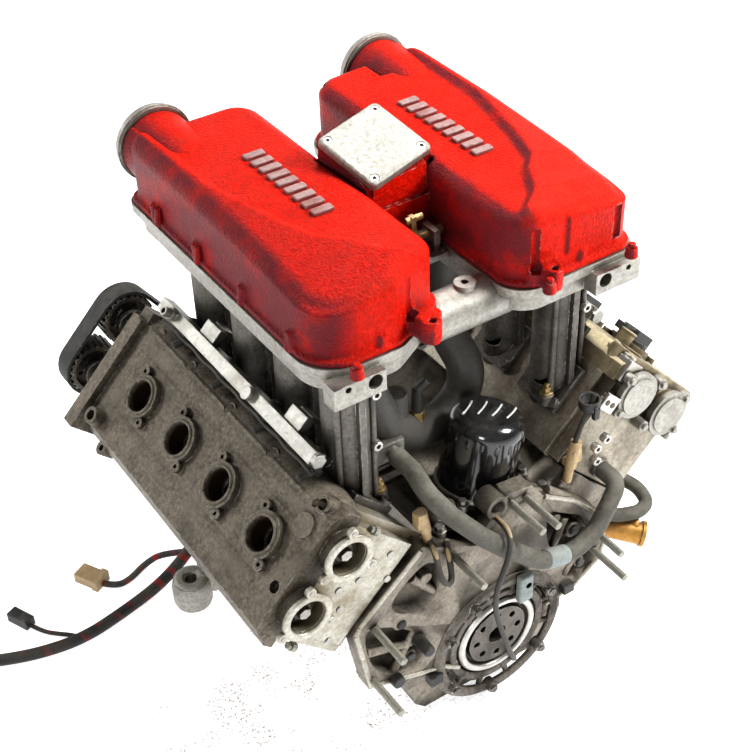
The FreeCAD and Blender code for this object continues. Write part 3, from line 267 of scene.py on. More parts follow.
def ramp(tree, value, low, high):
    """Smooth step of a socket between two values."""
    return add_node(tree, "ShaderNodeMapRange", interpolation_type="SMOOTHSTEP", Value=value,
                    From_Min=low, From_Max=high).outputs["Result"]


def noise(tree, where, scale, detail=4.0, rough=0.55):
    return add_node(tree, "ShaderNodeTexNoise", Vector=where, Scale=scale, Detail=detail,
                    Roughness=rough).outputs["Fac"]


def recolour(tree, shader, mask, colour):
    """Mixes a colour over what the shader's base colour already has."""
    old = shader.inputs["Base Color"].links[0].from_socket
    tree.links.new(blend(tree, mask, old, colour), shader.inputs["Base Color"])


# %% The shared node group
def aged_surface():
    tree = bpy.data.node_groups.new("aged_surface", "ShaderNodeTree")
    socket(tree, "Base", "Color", (0.5, 0.5, 0.5, 1))
    socket(tree, "StainAndShade", "Color", (0.08, 0.07, 0.06, 1))
    socket(tree, "Dust", "Color", (0.6, 0.55, 0.47, 1))
    socket(tree, "Worn", "Color", (0.7, 0.69, 0.66, 1))
    for name, default in (("Stained", 0.5), ("Dusty", 0.3), ("Wear", 0.3), ("Hollow", 0.6),
                          ("Smooth", 0.45), ("Rough", 0.75), ("Grain Scale", 900.0),
                          ("Grain", 0.2), ("Dents", 0.2), ("Mottle", 0.25)):
        socket(tree, name, "Float", default)
    for name, kind in (("Color", "Color"), ("Roughness", "Float"), ("Normal", "Vector")):
        socket(tree, name, kind, way="OUTPUT")
    given = tree.nodes.new("NodeGroupInput").outputs
    result = tree.nodes.new("NodeGroupOutput").inputs
    where = object_space(tree)
    facing = tree.nodes.new("ShaderNodeNewGeometry").outputs["Normal"]

    soft = add_node(tree, "ShaderNodeBevel", samples=4, Radius=0.0018)
    meet = tree.nodes.new("ShaderNodeVectorMath")
    meet.operation = "DOT_PRODUCT"
    tree.links.new(soft.outputs["Normal"], meet.inputs[0])
    tree.links.new(facing, meet.inputs[1])
    edge = ramp(tree, meet.outputs["Value"], 0.997, 0.90)
    chips = ramp(tree, noise(tree, where, 120, 5), 0.48, 0.60)
    worn = maths(tree, "MULTIPLY", maths(tree, "MULTIPLY", edge, chips), given["Wear"],
                 clamp=True)

    # Painted shade: an occlusion mask darkens hollows, creases and gaps between parts in the stain
    # colour.
    shade = tree.nodes.new("ShaderNodeAmbientOcclusion")
    shade.samples = 6
    shade.inputs["Distance"].default_value = 0.032
    hollow_shade_mask = ramp(tree, shade.outputs["AO"], 0.95, 0.35)
    patch = ramp(tree, noise(tree, where, 17, 6, 0.62), 0.46, 0.68)
    spot = ramp(tree, noise(tree, where, 75, 5, 0.6), 0.50, 0.72)
    speck = ramp(tree, noise(tree, where, 340, 3, 0.6), 0.54, 0.66)
    small = maths(tree, "MAXIMUM", maths(tree, "MULTIPLY", spot, 0.8), maths(
        tree, "MULTIPLY", speck, 0.55))
    dirty = maths(tree, "MULTIPLY", maths(tree, "MAXIMUM", patch, small), given["Stained"])
    painted_hollow_shade = maths(tree, "MULTIPLY", hollow_shade_mask, given["Hollow"])
    # The stain mask holds real stain patches and the painted shade of the hollows.
    stain_and_shade = maths(tree, "MAXIMUM", dirty, painted_hollow_shade, clamp=True)

    upright = tree.nodes.new("ShaderNodeSeparateXYZ")
    tree.links.new(facing, upright.inputs[0])
    film = maths(tree, "MULTIPLY", ramp(tree, upright.outputs["Z"], 0.1, 0.95),
                 ramp(tree, noise(tree, where, 33, 7, 0.65), 0.35, 0.68))
    film = maths(tree, "MULTIPLY", film, given["Dusty"], clamp=True)

    flecks = noise(tree, where, 210, 4, 0.7)
    mottle = maths(tree, "MULTIPLY", maths(tree, "SUBTRACT", flecks, 0.5), given["Mottle"])
    tone = add_node(tree, "ShaderNodeHueSaturation", Color=given["Base"],
                 Value=maths(tree, "ADD", maths(tree, "MULTIPLY", mottle, 4.0), 1.0))
    colour = blend(tree, stain_and_shade, tone.outputs["Color"], given["StainAndShade"])
    colour = blend(tree, film, colour, given["Dust"])
    colour = blend(tree, worn, colour, given["Worn"])
    tree.links.new(colour, result["Color"])
    rough = add_node(tree, "ShaderNodeMapRange", Value=noise(tree, where, 48, 4),
                  To_Min=given["Smooth"], To_Max=given["Rough"])
    tree.links.new(maths(tree, "ADD", rough.outputs["Result"], maths(
        tree, "MULTIPLY", film, 0.3), clamp=True), result["Roughness"])

    grain = noise(tree, where, given["Grain Scale"], 3, 0.6)
    dents = noise(tree, where, 90, 3, 0.5)
    height = maths(tree, "ADD", maths(tree, "MULTIPLY", grain, given["Grain"]),
                   maths(tree, "MULTIPLY", dents, given["Dents"]))
    bump = add_node(tree, "ShaderNodeBump", Strength=1.0, Distance=0.0012, Height=height)
    tree.links.new(soft.outputs["Normal"], bump.inputs["Normal"])
    tree.links.new(bump.outputs["Normal"], result["Normal"])
    return tree


AGED = aged_surface()
print("group sockets:", len(AGED.interface.items_tree))


# %% One finish is a group with values and a Principled shader
def finish(name, base, metallic=0.0, stain_and_shade=None, dust=None, worn=None, coat=0.0, **amounts):
    """New material in FINISH: colours and amounts go to the group, the rest to the shader."""
    paint = FINISH[name] = bpy.data.materials.new(name)
    paint.use_nodes = True
    tree, shader = nodes_of(paint)
    group = tree.nodes.new("ShaderNodeGroup")
    group.node_tree = AGED
    for key, colour in (("Base", base), ("StainAndShade", stain_and_shade), ("Dust", dust), ("Worn", worn)):
        if colour:
            group.inputs[key].default_value = (*colour, 1)
    for key, value in amounts.items():
        group.inputs[key.replace("_", " ")].default_value = value
    for way, target in (("Color", "Base Color"), ("Roughness", "Roughness"), ("Normal", "Normal")):
        tree.links.new(group.outputs[way], shader.inputs[target])
    shader.inputs["Metallic"].default_value = metallic
    shader.inputs["Coat Weight"].default_value = coat


# %% [markdown]
# ## Finishes
# Cast aluminium is matt, grainy and stained brown where oil has dried, and painted shade darkens
# the hollows of every finish in its stain colour. Machined faces are brighter. The plenums carry
# a thick wrinkle paint that chips at corners and greys with dust, with painted shade on the sides
# that face -X.
# Painted maps would need an unwrapped mesh, so all of it is noise on object coordinates instead.

# %% Castings and paint
FINISH = {}
finish("block_casting", (0.33, 0.295, 0.245), 0.75, (0.028, 0.021, 0.015), (0.46, 0.41, 0.33),
       Stained=0.75, Dusty=0.45, Wear=0.5, Hollow=0.95, Mottle=0.35, Grain=0.5, Dents=0.45,
       Smooth=0.34, Rough=0.58)
finish("cover_casting", (0.165, 0.138, 0.102), 0.3, (0.035, 0.026, 0.018), (0.33, 0.29, 0.23),
       Stained=0.55, Dusty=0.5, Wear=0.6, Hollow=0.9, Mottle=0.9, Grain_Scale=380.0, Grain=0.95,
       Dents=0.3, Smooth=0.38, Rough=0.62)
finish("head_casting", (0.42, 0.38, 0.31), 0.7, (0.07, 0.052, 0.03), (0.50, 0.45, 0.36),
       Stained=0.6, Dusty=0.25, Wear=0.6, Hollow=0.95, Mottle=0.35, Grain=0.3, Dents=0.4,
       Smooth=0.32, Rough=0.56)
finish("pale_head", (0.52, 0.50, 0.44), 0.7, (0.20, 0.155, 0.075), (0.55, 0.50, 0.42), Stained=0.6,
       Dusty=0.2, Hollow=0.9, Mottle=0.35, Smooth=0.32, Rough=0.55)
finish("gold_casting", (0.40, 0.335, 0.21), 0.65, (0.07, 0.05, 0.025), (0.50, 0.44, 0.32),
       Stained=0.6, Dusty=0.25, Wear=0.6, Hollow=0.95, Mottle=0.35, Grain=0.3, Dents=0.4,
       Smooth=0.32, Rough=0.56)
finish("silver_casting", (0.40, 0.385, 0.35), 0.7, (0.11, 0.095, 0.07), (0.50, 0.47, 0.40),
       Stained=0.4, Wear=0.5, Hollow=0.85, Mottle=0.35, Grain=0.3, Smooth=0.35, Rough=0.6)
finish("runner_casting", (0.20, 0.185, 0.165), 0.7, (0.03, 0.025, 0.02), (0.30, 0.27, 0.22),
       Dusty=0.25, Wear=0.8, Hollow=0.9, Mottle=0.4, Grain=0.5, Dents=0.5, Smooth=0.34, Rough=0.58)
finish("red_wrinkle", (0.64, 0.010, 0.0015), 0.0, (0.14, 0.005, 0.005), (0.42, 0.09, 0.05),
       (0.62, 0.60, 0.57), Stained=0.22, Dusty=0.08, Wear=0.8, Hollow=0.85, Mottle=0.4,
       Grain_Scale=330.0, Grain=2.3, Dents=0.1, Smooth=0.30, Rough=0.46)
print("finishes so far:", len(FINISH))

# %% Steel, iron and brass
finish("machined_steel", (0.42, 0.40, 0.37), 0.9, (0.10, 0.08, 0.06), Stained=0.4, Dusty=0.1,
       Wear=0.4, Hollow=0.8, Grain=0.05, Dents=0.05, Smooth=0.28, Rough=0.5)
finish("oily_iron", (0.16, 0.145, 0.125), 0.75, (0.03, 0.025, 0.02), Stained=0.6, Dusty=0.1,
       Wear=0.7, Hollow=0.9, Grain=0.15, Smooth=0.3, Rough=0.55)
finish("zinc_stud", (0.36, 0.35, 0.30), 0.7, (0.12, 0.10, 0.07), Wear=0.4, Grain_Scale=600.0,
       Grain=0.3, Smooth=0.4, Rough=0.6)
finish("aged_brass", (0.46, 0.34, 0.15), 0.8, (0.16, 0.10, 0.04), Dusty=0.2, Wear=0.5, Grain=0.1,
       Smooth=0.3, Rough=0.5)
print("finishes so far:", len(FINISH))

# %% Plastic, rubber and tape
finish("gloss_black", (0.014, 0.014, 0.015), 0.3, (0.03, 0.028, 0.025), (0.11, 0.105, 0.10),
       Stained=0.15, Dusty=0.40, Wear=0.2, Hollow=0.3, Mottle=0.1, Grain=0.01, Dents=0.02,
       Smooth=0.10, Rough=0.22, coat=0.9)
finish("black_plastic", (0.022, 0.022, 0.021), 0.0, (0.06, 0.055, 0.045), (0.22, 0.20, 0.17),
       Stained=0.25, Hollow=0.3, Mottle=0.2, Grain=0.08, Dents=0.05, Smooth=0.35, Rough=0.6)
finish("tan_plastic", (0.50, 0.36, 0.19), 0.0, (0.18, 0.12, 0.06), Stained=0.4, Dusty=0.2,
       Grain=0.05, Smooth=0.35, Rough=0.55)
finish("duct_rubber", (0.085, 0.080, 0.072), 0.0, (0.09, 0.08, 0.065), (0.20, 0.185, 0.16),
       Stained=0.3, Dusty=0.45, Wear=0.2, Hollow=0.4, Grain=0.06, Dents=0.12, Smooth=0.38,
       Rough=0.62)
finish("hose_rubber", (0.115, 0.108, 0.088), 0.0, (0.06, 0.055, 0.045), (0.32, 0.30, 0.25),
       Dusty=0.55, Wear=0.2, Mottle=0.35, Grain_Scale=500.0, Smooth=0.55, Rough=0.85)
finish("belt_rubber", (0.045, 0.044, 0.042), 0.0, (0.02, 0.02, 0.02), (0.19, 0.17, 0.14),
       Stained=0.3, Dusty=0.4, Wear=0.4, Hollow=0.5, Mottle=0.3, Smooth=0.55, Rough=0.85)
finish("loom_tape", (0.028, 0.027, 0.026), 0.0, (0.10, 0.09, 0.075), (0.17, 0.155, 0.13),
       Stained=0.35, Dusty=0.4, Wear=0.1, Hollow=0.3, Mottle=0.3, Grain_Scale=300.0, Grain=0.35,
       Dents=0.4, Rough=0.8)
finish("orange_pipe", (0.52, 0.27, 0.06), 0.5, (0.20, 0.09, 0.03), (0.5, 0.42, 0.28), Stained=0.55,
       Dusty=0.2, Wear=0.5, Hollow=0.7, Grain=0.12, Smooth=0.35, Rough=0.6)
print("finishes so far:", len(FINISH))

# %% Small parts, stains and chalk
finish("plug_ceramic", (0.62, 0.59, 0.53), 0.0, (0.2, 0.16, 0.11), Stained=0.3, Grain=0.02,
       Smooth=0.2, Rough=0.4)
finish("dark_casting", (0.20, 0.18, 0.155), 0.7, (0.035, 0.028, 0.022), (0.40, 0.35, 0.28),
       Stained=0.8, Dusty=0.4, Wear=0.7, Hollow=0.95, Mottle=0.4, Grain=0.3, Dents=0.3)
finish("bright_machined", (0.58, 0.57, 0.54), 0.85, (0.30, 0.26, 0.2), Stained=0.35, Dusty=0.1,
       Wear=0.2, Mottle=0.2, Grain=0.06, Dents=0.05, Smooth=0.25, Rough=0.45)
finish("badge_metal", (0.32, 0.20, 0.19), 0.4, (0.20, 0.04, 0.03), (0.5, 0.4, 0.36),
       (0.72, 0.70, 0.68), Stained=0.7, Dusty=0.4, Wear=0.8, Hollow=0.8, Mottle=0.4)
finish("grey_tape", (0.30, 0.34, 0.33), 0.0, (0.12, 0.13, 0.11), (0.5, 0.48, 0.42), Dusty=0.4,
       Wear=0.1, Hollow=0.5, Mottle=0.3, Grain_Scale=400.0, Dents=0.4, Rough=0.7)
finish("chalk", (0.86, 0.86, 0.83), 0.0, (0.6, 0.6, 0.58), Stained=0.3, Dusty=0.0, Wear=0.0,
       Hollow=0.1, Mottle=0.2, Grain=0.5, Smooth=0.8, Rough=0.95)
finish("rail_satin", (0.40, 0.39, 0.36), 0.8, (0.14, 0.12, 0.09), (0.5, 0.47, 0.4), Dusty=0.2,
       Wear=0.5, Hollow=0.8, Grain=0.1, Dents=0.15, Smooth=0.34, Rough=0.52)
finish("lid_silver", (0.36, 0.35, 0.31), 0.55, (0.13, 0.12, 0.09), (0.50, 0.48, 0.42),
       Stained=0.35, Dusty=0.1, Wear=0.4, Hollow=0.8, Mottle=0.45, Grain=0.4, Smooth=0.34,
       Rough=0.55)
# A dark gloss inside the coil wells and on the strap plate's holes, where it is painted shade.
finish("dark_in_holes", (0.055, 0.026, 0.010), 0.3, (0.015, 0.008, 0.004), Dusty=0.0, Wear=0.1,
       Hollow=0.9, Mottle=0.4, Grain=0.1, Smooth=0.22, Rough=0.5, coat=0.3)
finish("wire_sleeve", (0.035, 0.032, 0.028), 0.0, (0.07, 0.06, 0.045), (0.22, 0.20, 0.16),
       Stained=0.4, Dusty=0.4, Wear=0.1, Hollow=0.3, Mottle=0.2, Grain=0.1, Dents=0.1, Smooth=0.4,
       Rough=0.65)
print("finishes:", len(FINISH))


# %% Warm gloss and painted shade on the sides of the red paint
def side_shade(paint, faded_shade):
    """Painted shade with a faded, dusty tint on the faces that look away to -X."""
    tree, shader = nodes_of(paint)
    split = tree.nodes.new("ShaderNodeSeparateXYZ")
    tree.links.new(tree.nodes.new("ShaderNodeNewGeometry").outputs["Normal"], split.inputs[0])
    away = ramp(tree, split.outputs["X"], -0.02, -0.6)
    cloud = ramp(tree, noise(tree, object_space(tree), 22, 6, 0.65), 0.15, 0.58)
    recolour(tree, shader, maths(tree, "MULTIPLY", away, cloud), faded_shade)


red_shader = nodes_of(FINISH["red_wrinkle"])[1]
red_shader.inputs["Specular IOR Level"].default_value = 0.22
red_shader.inputs["Specular Tint"].default_value = (1.0, 0.42, 0.28, 1)
# Painted shade: the faces turned to -X, away from the key lamp, get a darker maroon in patches.
side_shade(FINISH["red_wrinkle"], (0.17, 0.022, 0.030, 1))
print("red gloss level:", round(red_shader.inputs["Specular IOR Level"].default_value, 2))

# %% Which piece wears which finish
WEARS = {
    "block_casting": "engine_block sump rear_seal_carrier timing_case timing_cover "
                     "filter_housing",
    "cover_casting": "left_cam_cover",
    "head_casting": "right_head",
    "pale_head": "left_head",
    "gold_casting": "right_cam_cover",
    "silver_casting": "engine_mounts right_cam_end_covers inlet_rings balance_pipe "
                      "water_fittings bypass_bracket left_intake_base right_intake_base "
                      "left_outer_pistons left_inner_pistons right_outer_pistons "
                      "right_inner_pistons",
    "runner_casting": "intake_runners",
    "red_wrinkle": "left_plenum right_plenum centre_box",
    "rail_satin": "fuel_rails",
    "machined_steel": "main_bearings centre_cover_screws left_jackshaft right_jackshaft",
    "oily_iron": "crankshaft crank_pulley cylinder_liners head_gaskets left_intake_camshaft "
                 "left_exhaust_camshaft right_intake_camshaft right_exhaust_camshaft",
    "zinc_stud": "rear_studs",
    "aged_brass": "bypass_lever",
    "lid_silver": "centre_cover",
    "gloss_black": "oil_filter",
    "black_plastic": "ignition_coils injectors harness_end_plug black_connector",
    "tan_plastic": "sensors pale_connector",
    "duct_rubber": "resonance_duct",
    "hose_rubber": "coolant_hose heater_hose",
    "belt_rubber": "left_timing_belt right_timing_belt",
    "orange_pipe": "outlet_elbow",
    "plug_ceramic": "spark_plugs",
}


def dress(thing, paint):
    """Gives a piece one finish, by its name."""
    if not thing.data.materials:
        thing.data.materials.append(FINISH[paint])
    for slot in thing.material_slots:
        slot.material = FINISH[paint]


for paint, names in WEARS.items():
    for name in names.split():
        dress(nodes[name], paint)
for cord in (trunk, long_lead, short_lead):
    dress(cord, "loom_tape")
print("dressed:", sum(len(names.split()) for names in WEARS.values()), "pieces of the frame")

# %% [markdown]
# ## Drawing helpers
# New pieces are drawn from a few primitives in millimetres: rods, bricks that lean with a bank,
# turned rings, soft tubes and flat prisms. Each piece keeps its place in its mesh and rides on
# a body, so nothing is moved afterwards.

# %% Rods, bricks, turned shapes
SHARP = math.radians(38)
LEAN = {"": (Matrix.Identity(4), 1), "left": (Matrix.Rotation(-math.pi / 4, 4, "Y"), 1),
        "right": (Matrix.Rotation(math.pi / 4, 4, "Y"), -1)}


def bank(side, inner, y, height):
    """Point of a bank: distance to the valley side, Y and height above the crank, in mm."""
    turn, sign = LEAN[side]
    return tuple(turn @ Vector((sign * inner, y, height)))


def stand(base, way):
    """Matrix with its Z axis along a direction and its origin at a point in mm."""
    turn = Vector(way).to_track_quat("Z", "Y").to_matrix().to_4x4()
    return Matrix.Translation(Vector(base) / 1000) @ turn


def around(centre, radius, angles):
    """Places (x, z) on a circle across Y, one for each angle in degrees."""
    for angle in angles:
        turn = math.radians(angle)
        yield centre[0] + radius * math.cos(turn), centre[-1] + radius * math.sin(turn)


def rod(work, start, end, radius, tip=None, sides=28):
    start, end = Vector(start), Vector(end)
    bmesh.ops.create_cone(
        work, cap_ends=True, segments=sides, radius1=radius / 1000,
        radius2=(radius if tip is None else tip) / 1000, depth=(end - start).length / 1000,
        matrix=stand((start + end) / 2, end - start))


def brick(work, low, high, side=""):
    """Box between two corners, which lean with a bank when a side is given."""
    low, high = Vector(low) / 1000, Vector(high) / 1000
    turn, sign = LEAN[side]
    flip = Matrix.Diagonal((sign, 1, 1, 1))
    size = [abs(value) for value in high - low]
    bmesh.ops.create_cube(work, size=1, matrix=turn @ Matrix.Translation(
        flip @ ((low + high) / 2)) @ Matrix.Diagonal((*size, 1)))


def turned(work, base, way, steps, sides=56):
    """Turned shape from (radius, height) steps in mm; equal first and last steps close a ring."""
    turn = stand(base, way)
    start = steps[0]
    made = bmesh.ops.create_circle(
        work, cap_ends=False, segments=sides, radius=start[0] / 1000,
        matrix=turn @ Matrix.Translation((0, 0, start[1] / 1000)))
    rim = set(made["verts"])
    every = list(rim)
    first = list({edge for vert in rim for edge in vert.link_edges})
    edges = first
    for before, after in zip(steps, steps[1:]):
        grown = bmesh.ops.extrude_edge_only(work, edges=edges)["geom"]
        rim = {item for item in grown if isinstance(item, bmesh.types.BMVert)}
        every += rim
        wide = after[0] / before[0]
        bmesh.ops.transform(work, verts=list(rim), matrix=turn @ Matrix.Translation(
            (0, 0, (after[1] - before[1]) / 1000)) @ Matrix.Diagonal(
                (wide, wide, 1, 1)) @ turn.inverted())
        edges = [edge for edge in {edge for vert in rim for edge in vert.link_edges}
                 if set(edge.verts) <= rim]
    if steps[0] == steps[-1]:
        bmesh.ops.remove_doubles(work, verts=every, dist=1e-6)
    else:
        bmesh.ops.holes_fill(work, edges=first + edges)


# %% From a drawing to a finished piece
def drawn(name, draw):
    """Mesh from a drawing routine, with faces outward."""
    mesh = bpy.data.meshes.new(name)
    work = bmesh.new()
    draw(work)
    bmesh.ops.recalc_face_normals(work, faces=work.faces)
    work.to_mesh(mesh)
    work.free()
    return mesh


def finished(thing, paint):
    """Makes an object a piece of the engine, in its finish."""
    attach(thing, "engine")
    dress(thing, paint)
    print(thing.name, "faces:", len(thing.data.polygons))
    return thing


def piece(draw, paint, bevel=0.0):
    """New piece, named as its drawing routine; bevel is the width of its soft edges in mm."""
    mesh = drawn(draw.__name__, draw)
    mesh.shade_smooth()
    mesh.set_sharp_from_angle(angle=SHARP)
    thing = linked(mesh.name, mesh)
    if bevel:
        soft = thing.modifiers.new("soft_edges", "BEVEL")
        soft.width, soft.segments, soft.limit_method = bevel / 1000, 2, "ANGLE"
        soft.angle_limit = math.radians(40)
        soft.harden_normals = False
    return finished(thing, paint)


# %% Tubes, prisms and reworked castings
def mesh_of(thing):
    """Mesh of an object as its curve or modifiers make it."""
    graph = bpy.context.evaluated_depsgraph_get()
    return bpy.data.meshes.new_from_object(thing.evaluated_get(graph))


def soft_tube(name, points, radius, paint):
    """Smooth round tube along control points in mm, as a mesh."""
    line = spline_object(name + "_line", points, radius)
    mesh = mesh_of(line)
    bpy.data.objects.remove(line)
    mesh.shade_smooth()
    finished(linked(name, mesh), paint)


def prism(name, loop, low, high):
    """Mesh of a flat rounded shape, from (x, z) control points in mm, between two Y values."""
    curve = bpy.data.curves.new(name, "CURVE")
    curve.dimensions, curve.fill_mode = "2D", "BOTH"
    curve.extrude = abs(high - low) / 2000
    spline = curve.splines.new("NURBS")
    spline.points.add(len(loop) - 1)
    for spot, (x, z) in zip(spline.points, loop):
        spot.co = (x / 1000, z / 1000, 0, 1)
    spline.order_u, spline.use_cyclic_u, spline.resolution_u = 3, True, 6
    holder = linked(name, curve)
    mesh = mesh_of(holder)
    bpy.data.objects.remove(holder)
    mesh.transform(Matrix.Translation((0, (low + high) / 2000, 0)) @ Matrix.Rotation(
        math.pi / 2, 4, "X"))
    return mesh


def reworked(name, node, paint, cutters, voxel=0.0):
    """Copy of a frame piece, cut and maybe remeshed first, which stands for that piece."""
    mesh = nodes[node].data.copy()
    work = bmesh.new()
    work.from_mesh(mesh)
    bmesh.ops.remove_doubles(work, verts=work.verts, dist=2e-6)
    work.to_mesh(mesh)
    work.free()
    thing = linked(name, mesh)
    tools = []
    if voxel:
        even = thing.modifiers.new("even_mesh", "REMESH")
        even.mode, even.voxel_size = "VOXEL", voxel / 1000
    for index, cutter in enumerate(cutters):
        tool = linked("%s_cut_%d" % (name, index), cutter)
        cut = thing.modifiers.new("cut_%d" % index, "BOOLEAN")
        cut.operation, cut.solver, cut.object = "DIFFERENCE", "EXACT", tool
        tools.append(tool)
    result = mesh_of(thing)
    thing.modifiers.clear()
    thing.data = result
    for tool in tools:
        bpy.data.objects.remove(tool)
    result.shade_smooth()
    result.set_sharp_from_angle(angle=SHARP)
    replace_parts(thing, node)
    return finished(thing, paint)


# %% [markdown]
# ## Plenums
# The lid of each plenum isn't flat. A plateau on the valley side sits a little lower, and a soft
# shoulder sweeps across the rear in an S. Outside it the lid falls away. A sculpted or lofted lid
# would lose its fit to the flange, so a copy of the solid gets an even mesh whose points are
# lowered by a formula. The raised badge on the plateau is a plain row of flutes here.

# %% Shoulder of the plenums
SHOULDER = [(60, 62), (84, 92), (120, 112), (142, 134), (190, 150), (290, 174), (470, 180)]


def shoulder_at(y):
    """Distance from the centre plane to the shoulder at one Y, in mm."""
    for (y0, x0), (y1, x1) in zip(SHOULDER, SHOULDER[1:]):
        if y < y1:
            part = max(0.0, (y - y0) / (y1 - y0))
            return x0 + (x1 - x0) * part
    return SHOULDER[-1][1]


def settle(thing):
    """Lowers the plateau and the outer fall of a plenum lid."""
    for vert in thing.data.vertices:
        x, y, z = (1000 * value for value in vert.co)
        lid = min(1.0, max(0.0, (z - 522) / 30))
        if lid > 0:
            past = abs(x) - shoulder_at(y)
            step = min(1.0, max(0.0, (past + 8) / 16))
            step = step * step * (3 - 2 * step)
            rear = min(1.0, max(0.0, (y - 40) / 30))
            drop = 7.5 * (1 - step) * rear + 0.20 * max(0.0, past - 4)
            vert.co.z -= drop * lid / 1000


def groove(x, y):
    """Mesh of an upright round cutter at one place of the lid's rear wall."""
    return drawn("groove", lambda work: rod(work, (x, y, 484), (x, y, 536), 6.5))


for side, spots in (("left", ((-176, 38), (-88, 46))), ("right", ((64, 38), (176, 38)))):
    settle(reworked(side + "_plenum_skin", side + "_plenum", "red_wrinkle",
                    [groove(x, y) for x, y in spots], voxel=2.4))


# %% Snouts, bolts and badge panels
def plenum_snouts(work):
    for sign in (-1, 1):
        turned(work, (sign * 154, 360, 514), (0, 1, 0), [
            (6, -14), (20, -6), (32, 8), (40, 30), (43, 60), (43.5, 108), (42, 110)], 64)


def plenum_bolts(work):
    for sign, x, y in ((-1, -176, 13), (-1, -70, 34), (1, 64, 15), (1, 176, 15)):
        rod(work, (x, y, 474), (x, y, 486), 7.5, 6.5)
        rod(work, (x, y, 486), (x, y, 491), 4.6, sides=6)
    for sign in (-1, 1):
        for y in (96, 190, 284, 378):
            rod(work, (sign * 204, y, 470), (sign * 203, y, 492), 5, 3.5)


def badge_panels(work):
    for sign in (-1, 1):
        for step in range(9):
            y = 180 + 17.5 * step
            brick(work, (sign * 91, y, 540), (sign * 116, y + 11, 552.4))


piece(plenum_snouts, "red_wrinkle", 1.0)
piece(plenum_bolts, "red_wrinkle", 1.0)
piece(badge_panels, "badge_metal", 1.2)

# %% [markdown]
# ## Flywheel end
# The round flange is a deep casting: pockets between ribs, stepped rings round the crank seal,
# a bright machined ring, and black plugs and clips. The pockets are cut from a copy of the block
# with rounded prisms, which keeps every bolt hole and face of the casting where it is.

# %% Pockets of the flange
POCKETS = [
    [(-176, 40), (-192, 112), (-182, 132), (-126, 92), (-104, 52), (-120, 22)],
    [(-166, 142), (-116, 186), (-94, 184), (-78, 150), (-108, 106)],
    [(70, 104), (108, 76), (138, 94), (128, 130), (98, 148), (66, 172)],
    [(92, 44), (128, 22), (154, 38), (146, 74), (112, 66)],
    [(-108, 4), (-150, 18), (-160, 4), (-100, -34)],
]
cutters = [prism("pocket", loop, -2, 18) for loop in POCKETS]
reworked("block_skin", "engine_block", "block_casting", cutters)


# %% Rings and ribs round the crank seal
RING_BOLTS = (28, 66, 118, 152, 214, 262, 318)


def seal_rings(work):
    turned(work, (0, 0, 0), (0, -1, 0), [
        (80, -2), (80, 3), (83, 5), (90, 5), (93, 2), (96, 1), (96, -2), (80, -2)], 72)
    turned(work, (0, 6, 0), (0, -1, 0), [
        (60, -2), (60, 4), (63, 6), (70, 6), (72, 3), (76, 2), (76, -2), (60, -2)], 72)
    spokes = range(12, 372, 30)
    for (x, z), (far_x, far_z) in zip(around((0, 0), 60, spokes), around((0, 0), 92, spokes)):
        rod(work, (x, 4, z), (far_x, 2, far_z), 4.2, 3.2, sides=10)
    for x, z in around((0, 0), 84, RING_BOLTS):
        rod(work, (x, 4, z), (x, -9, z), 8, 7)


def bright_ring(work):
    turned(work, (0, 6, 0), (0, -1, 0), [
        (48, -2), (48, 6), (50, 8), (55, 8), (57.5, 5), (57.5, -2), (48, -2)], 80)


def ring_bolts(work):
    for x, z in around((0, 0), 84, RING_BOLTS):
        rod(work, (x, -9, z), (x, -14, z), 5.2, sides=6)
        rod(work, (x, -9, z), (x, -10.4, z), 7)


piece(seal_rings, "dark_casting", 1.0)
piece(bright_ring, "bright_machined", 0.6)
piece(ring_bolts, "oily_iron", 0.5)


# %% Ribs, rim and plugs of the flange
def flange_ribs(work):
    for start, end in (((-150, 6, 30), (-112, 6, 96)), ((-122, 6, 168), (-84, 6, 120)),
                       ((100, 6, 138), (84, 6, 96)), ((120, 6, 62), (100, 6, 30)),
                       ((-186, 6, 84), (-124, 6, 62))):
        rod(work, start, end, 6, 5, sides=12)
    for x, z, size in ((-140, 108, 11), (-128, 46, 9), (-104, 160, 9), (112, 112, 12),
                       (126, 50, 9), (84, 146, 8), (-132, 6, 8)):
        rod(work, (x, 13, z), (x, 1, z), size, size - 1.5)


def flange_plugs(work):
    for x, z in ((-140, 108), (112, 112), (126, 50), (-128, 46)):
        rod(work, (x, 1, z), (x, -3, z), 6.5, 5.5)
    rod(work, (-118, 4, 70), (-118, -26, 70), 8, 7)
    rod(work, (-150, 8, 22), (-150, -10, 22), 9, 8)
    brick(work, (-104, -8, -22), (-86, 6, -6))
    brick(work, (96, -10, 16), (112, 4, 30))


piece(flange_ribs, "block_casting", 1.2)
piece(flange_plugs, "black_plastic", 1.2)


def hose_tape(work):
    way = Vector((51, 2, -17)).normalized()
    steps = [(10.9, 0)]
    for turn in range(7):
        steps += [(12.3, 1 + 4.6 * turn), (11.9, 4.8 + 4.6 * turn)]
    turned(work, (48, -23.7, 120.6), way, steps + [(10.9, 34)], 32)


def seal_tape(work):
    brick(work, (22, -14, 50), (42, -3.5, 92))


piece(hose_tape, "grey_tape", 0.3)
piece(seal_tape, "grey_tape", 2.5)

# %% [markdown]
# ## Oil filter
# A pressed steel can with a domed top, a row of dents under the shoulder and a rolled bright rim
# at its foot. It is one turned outline, because the real can is drawn and rolled round one axis.
# The chalk marks on top are four plain tally strokes.

# %% Filter can
FOOT, LONG = Vector((12, 70, 196)), Vector((24, 0, 97)).normalized()


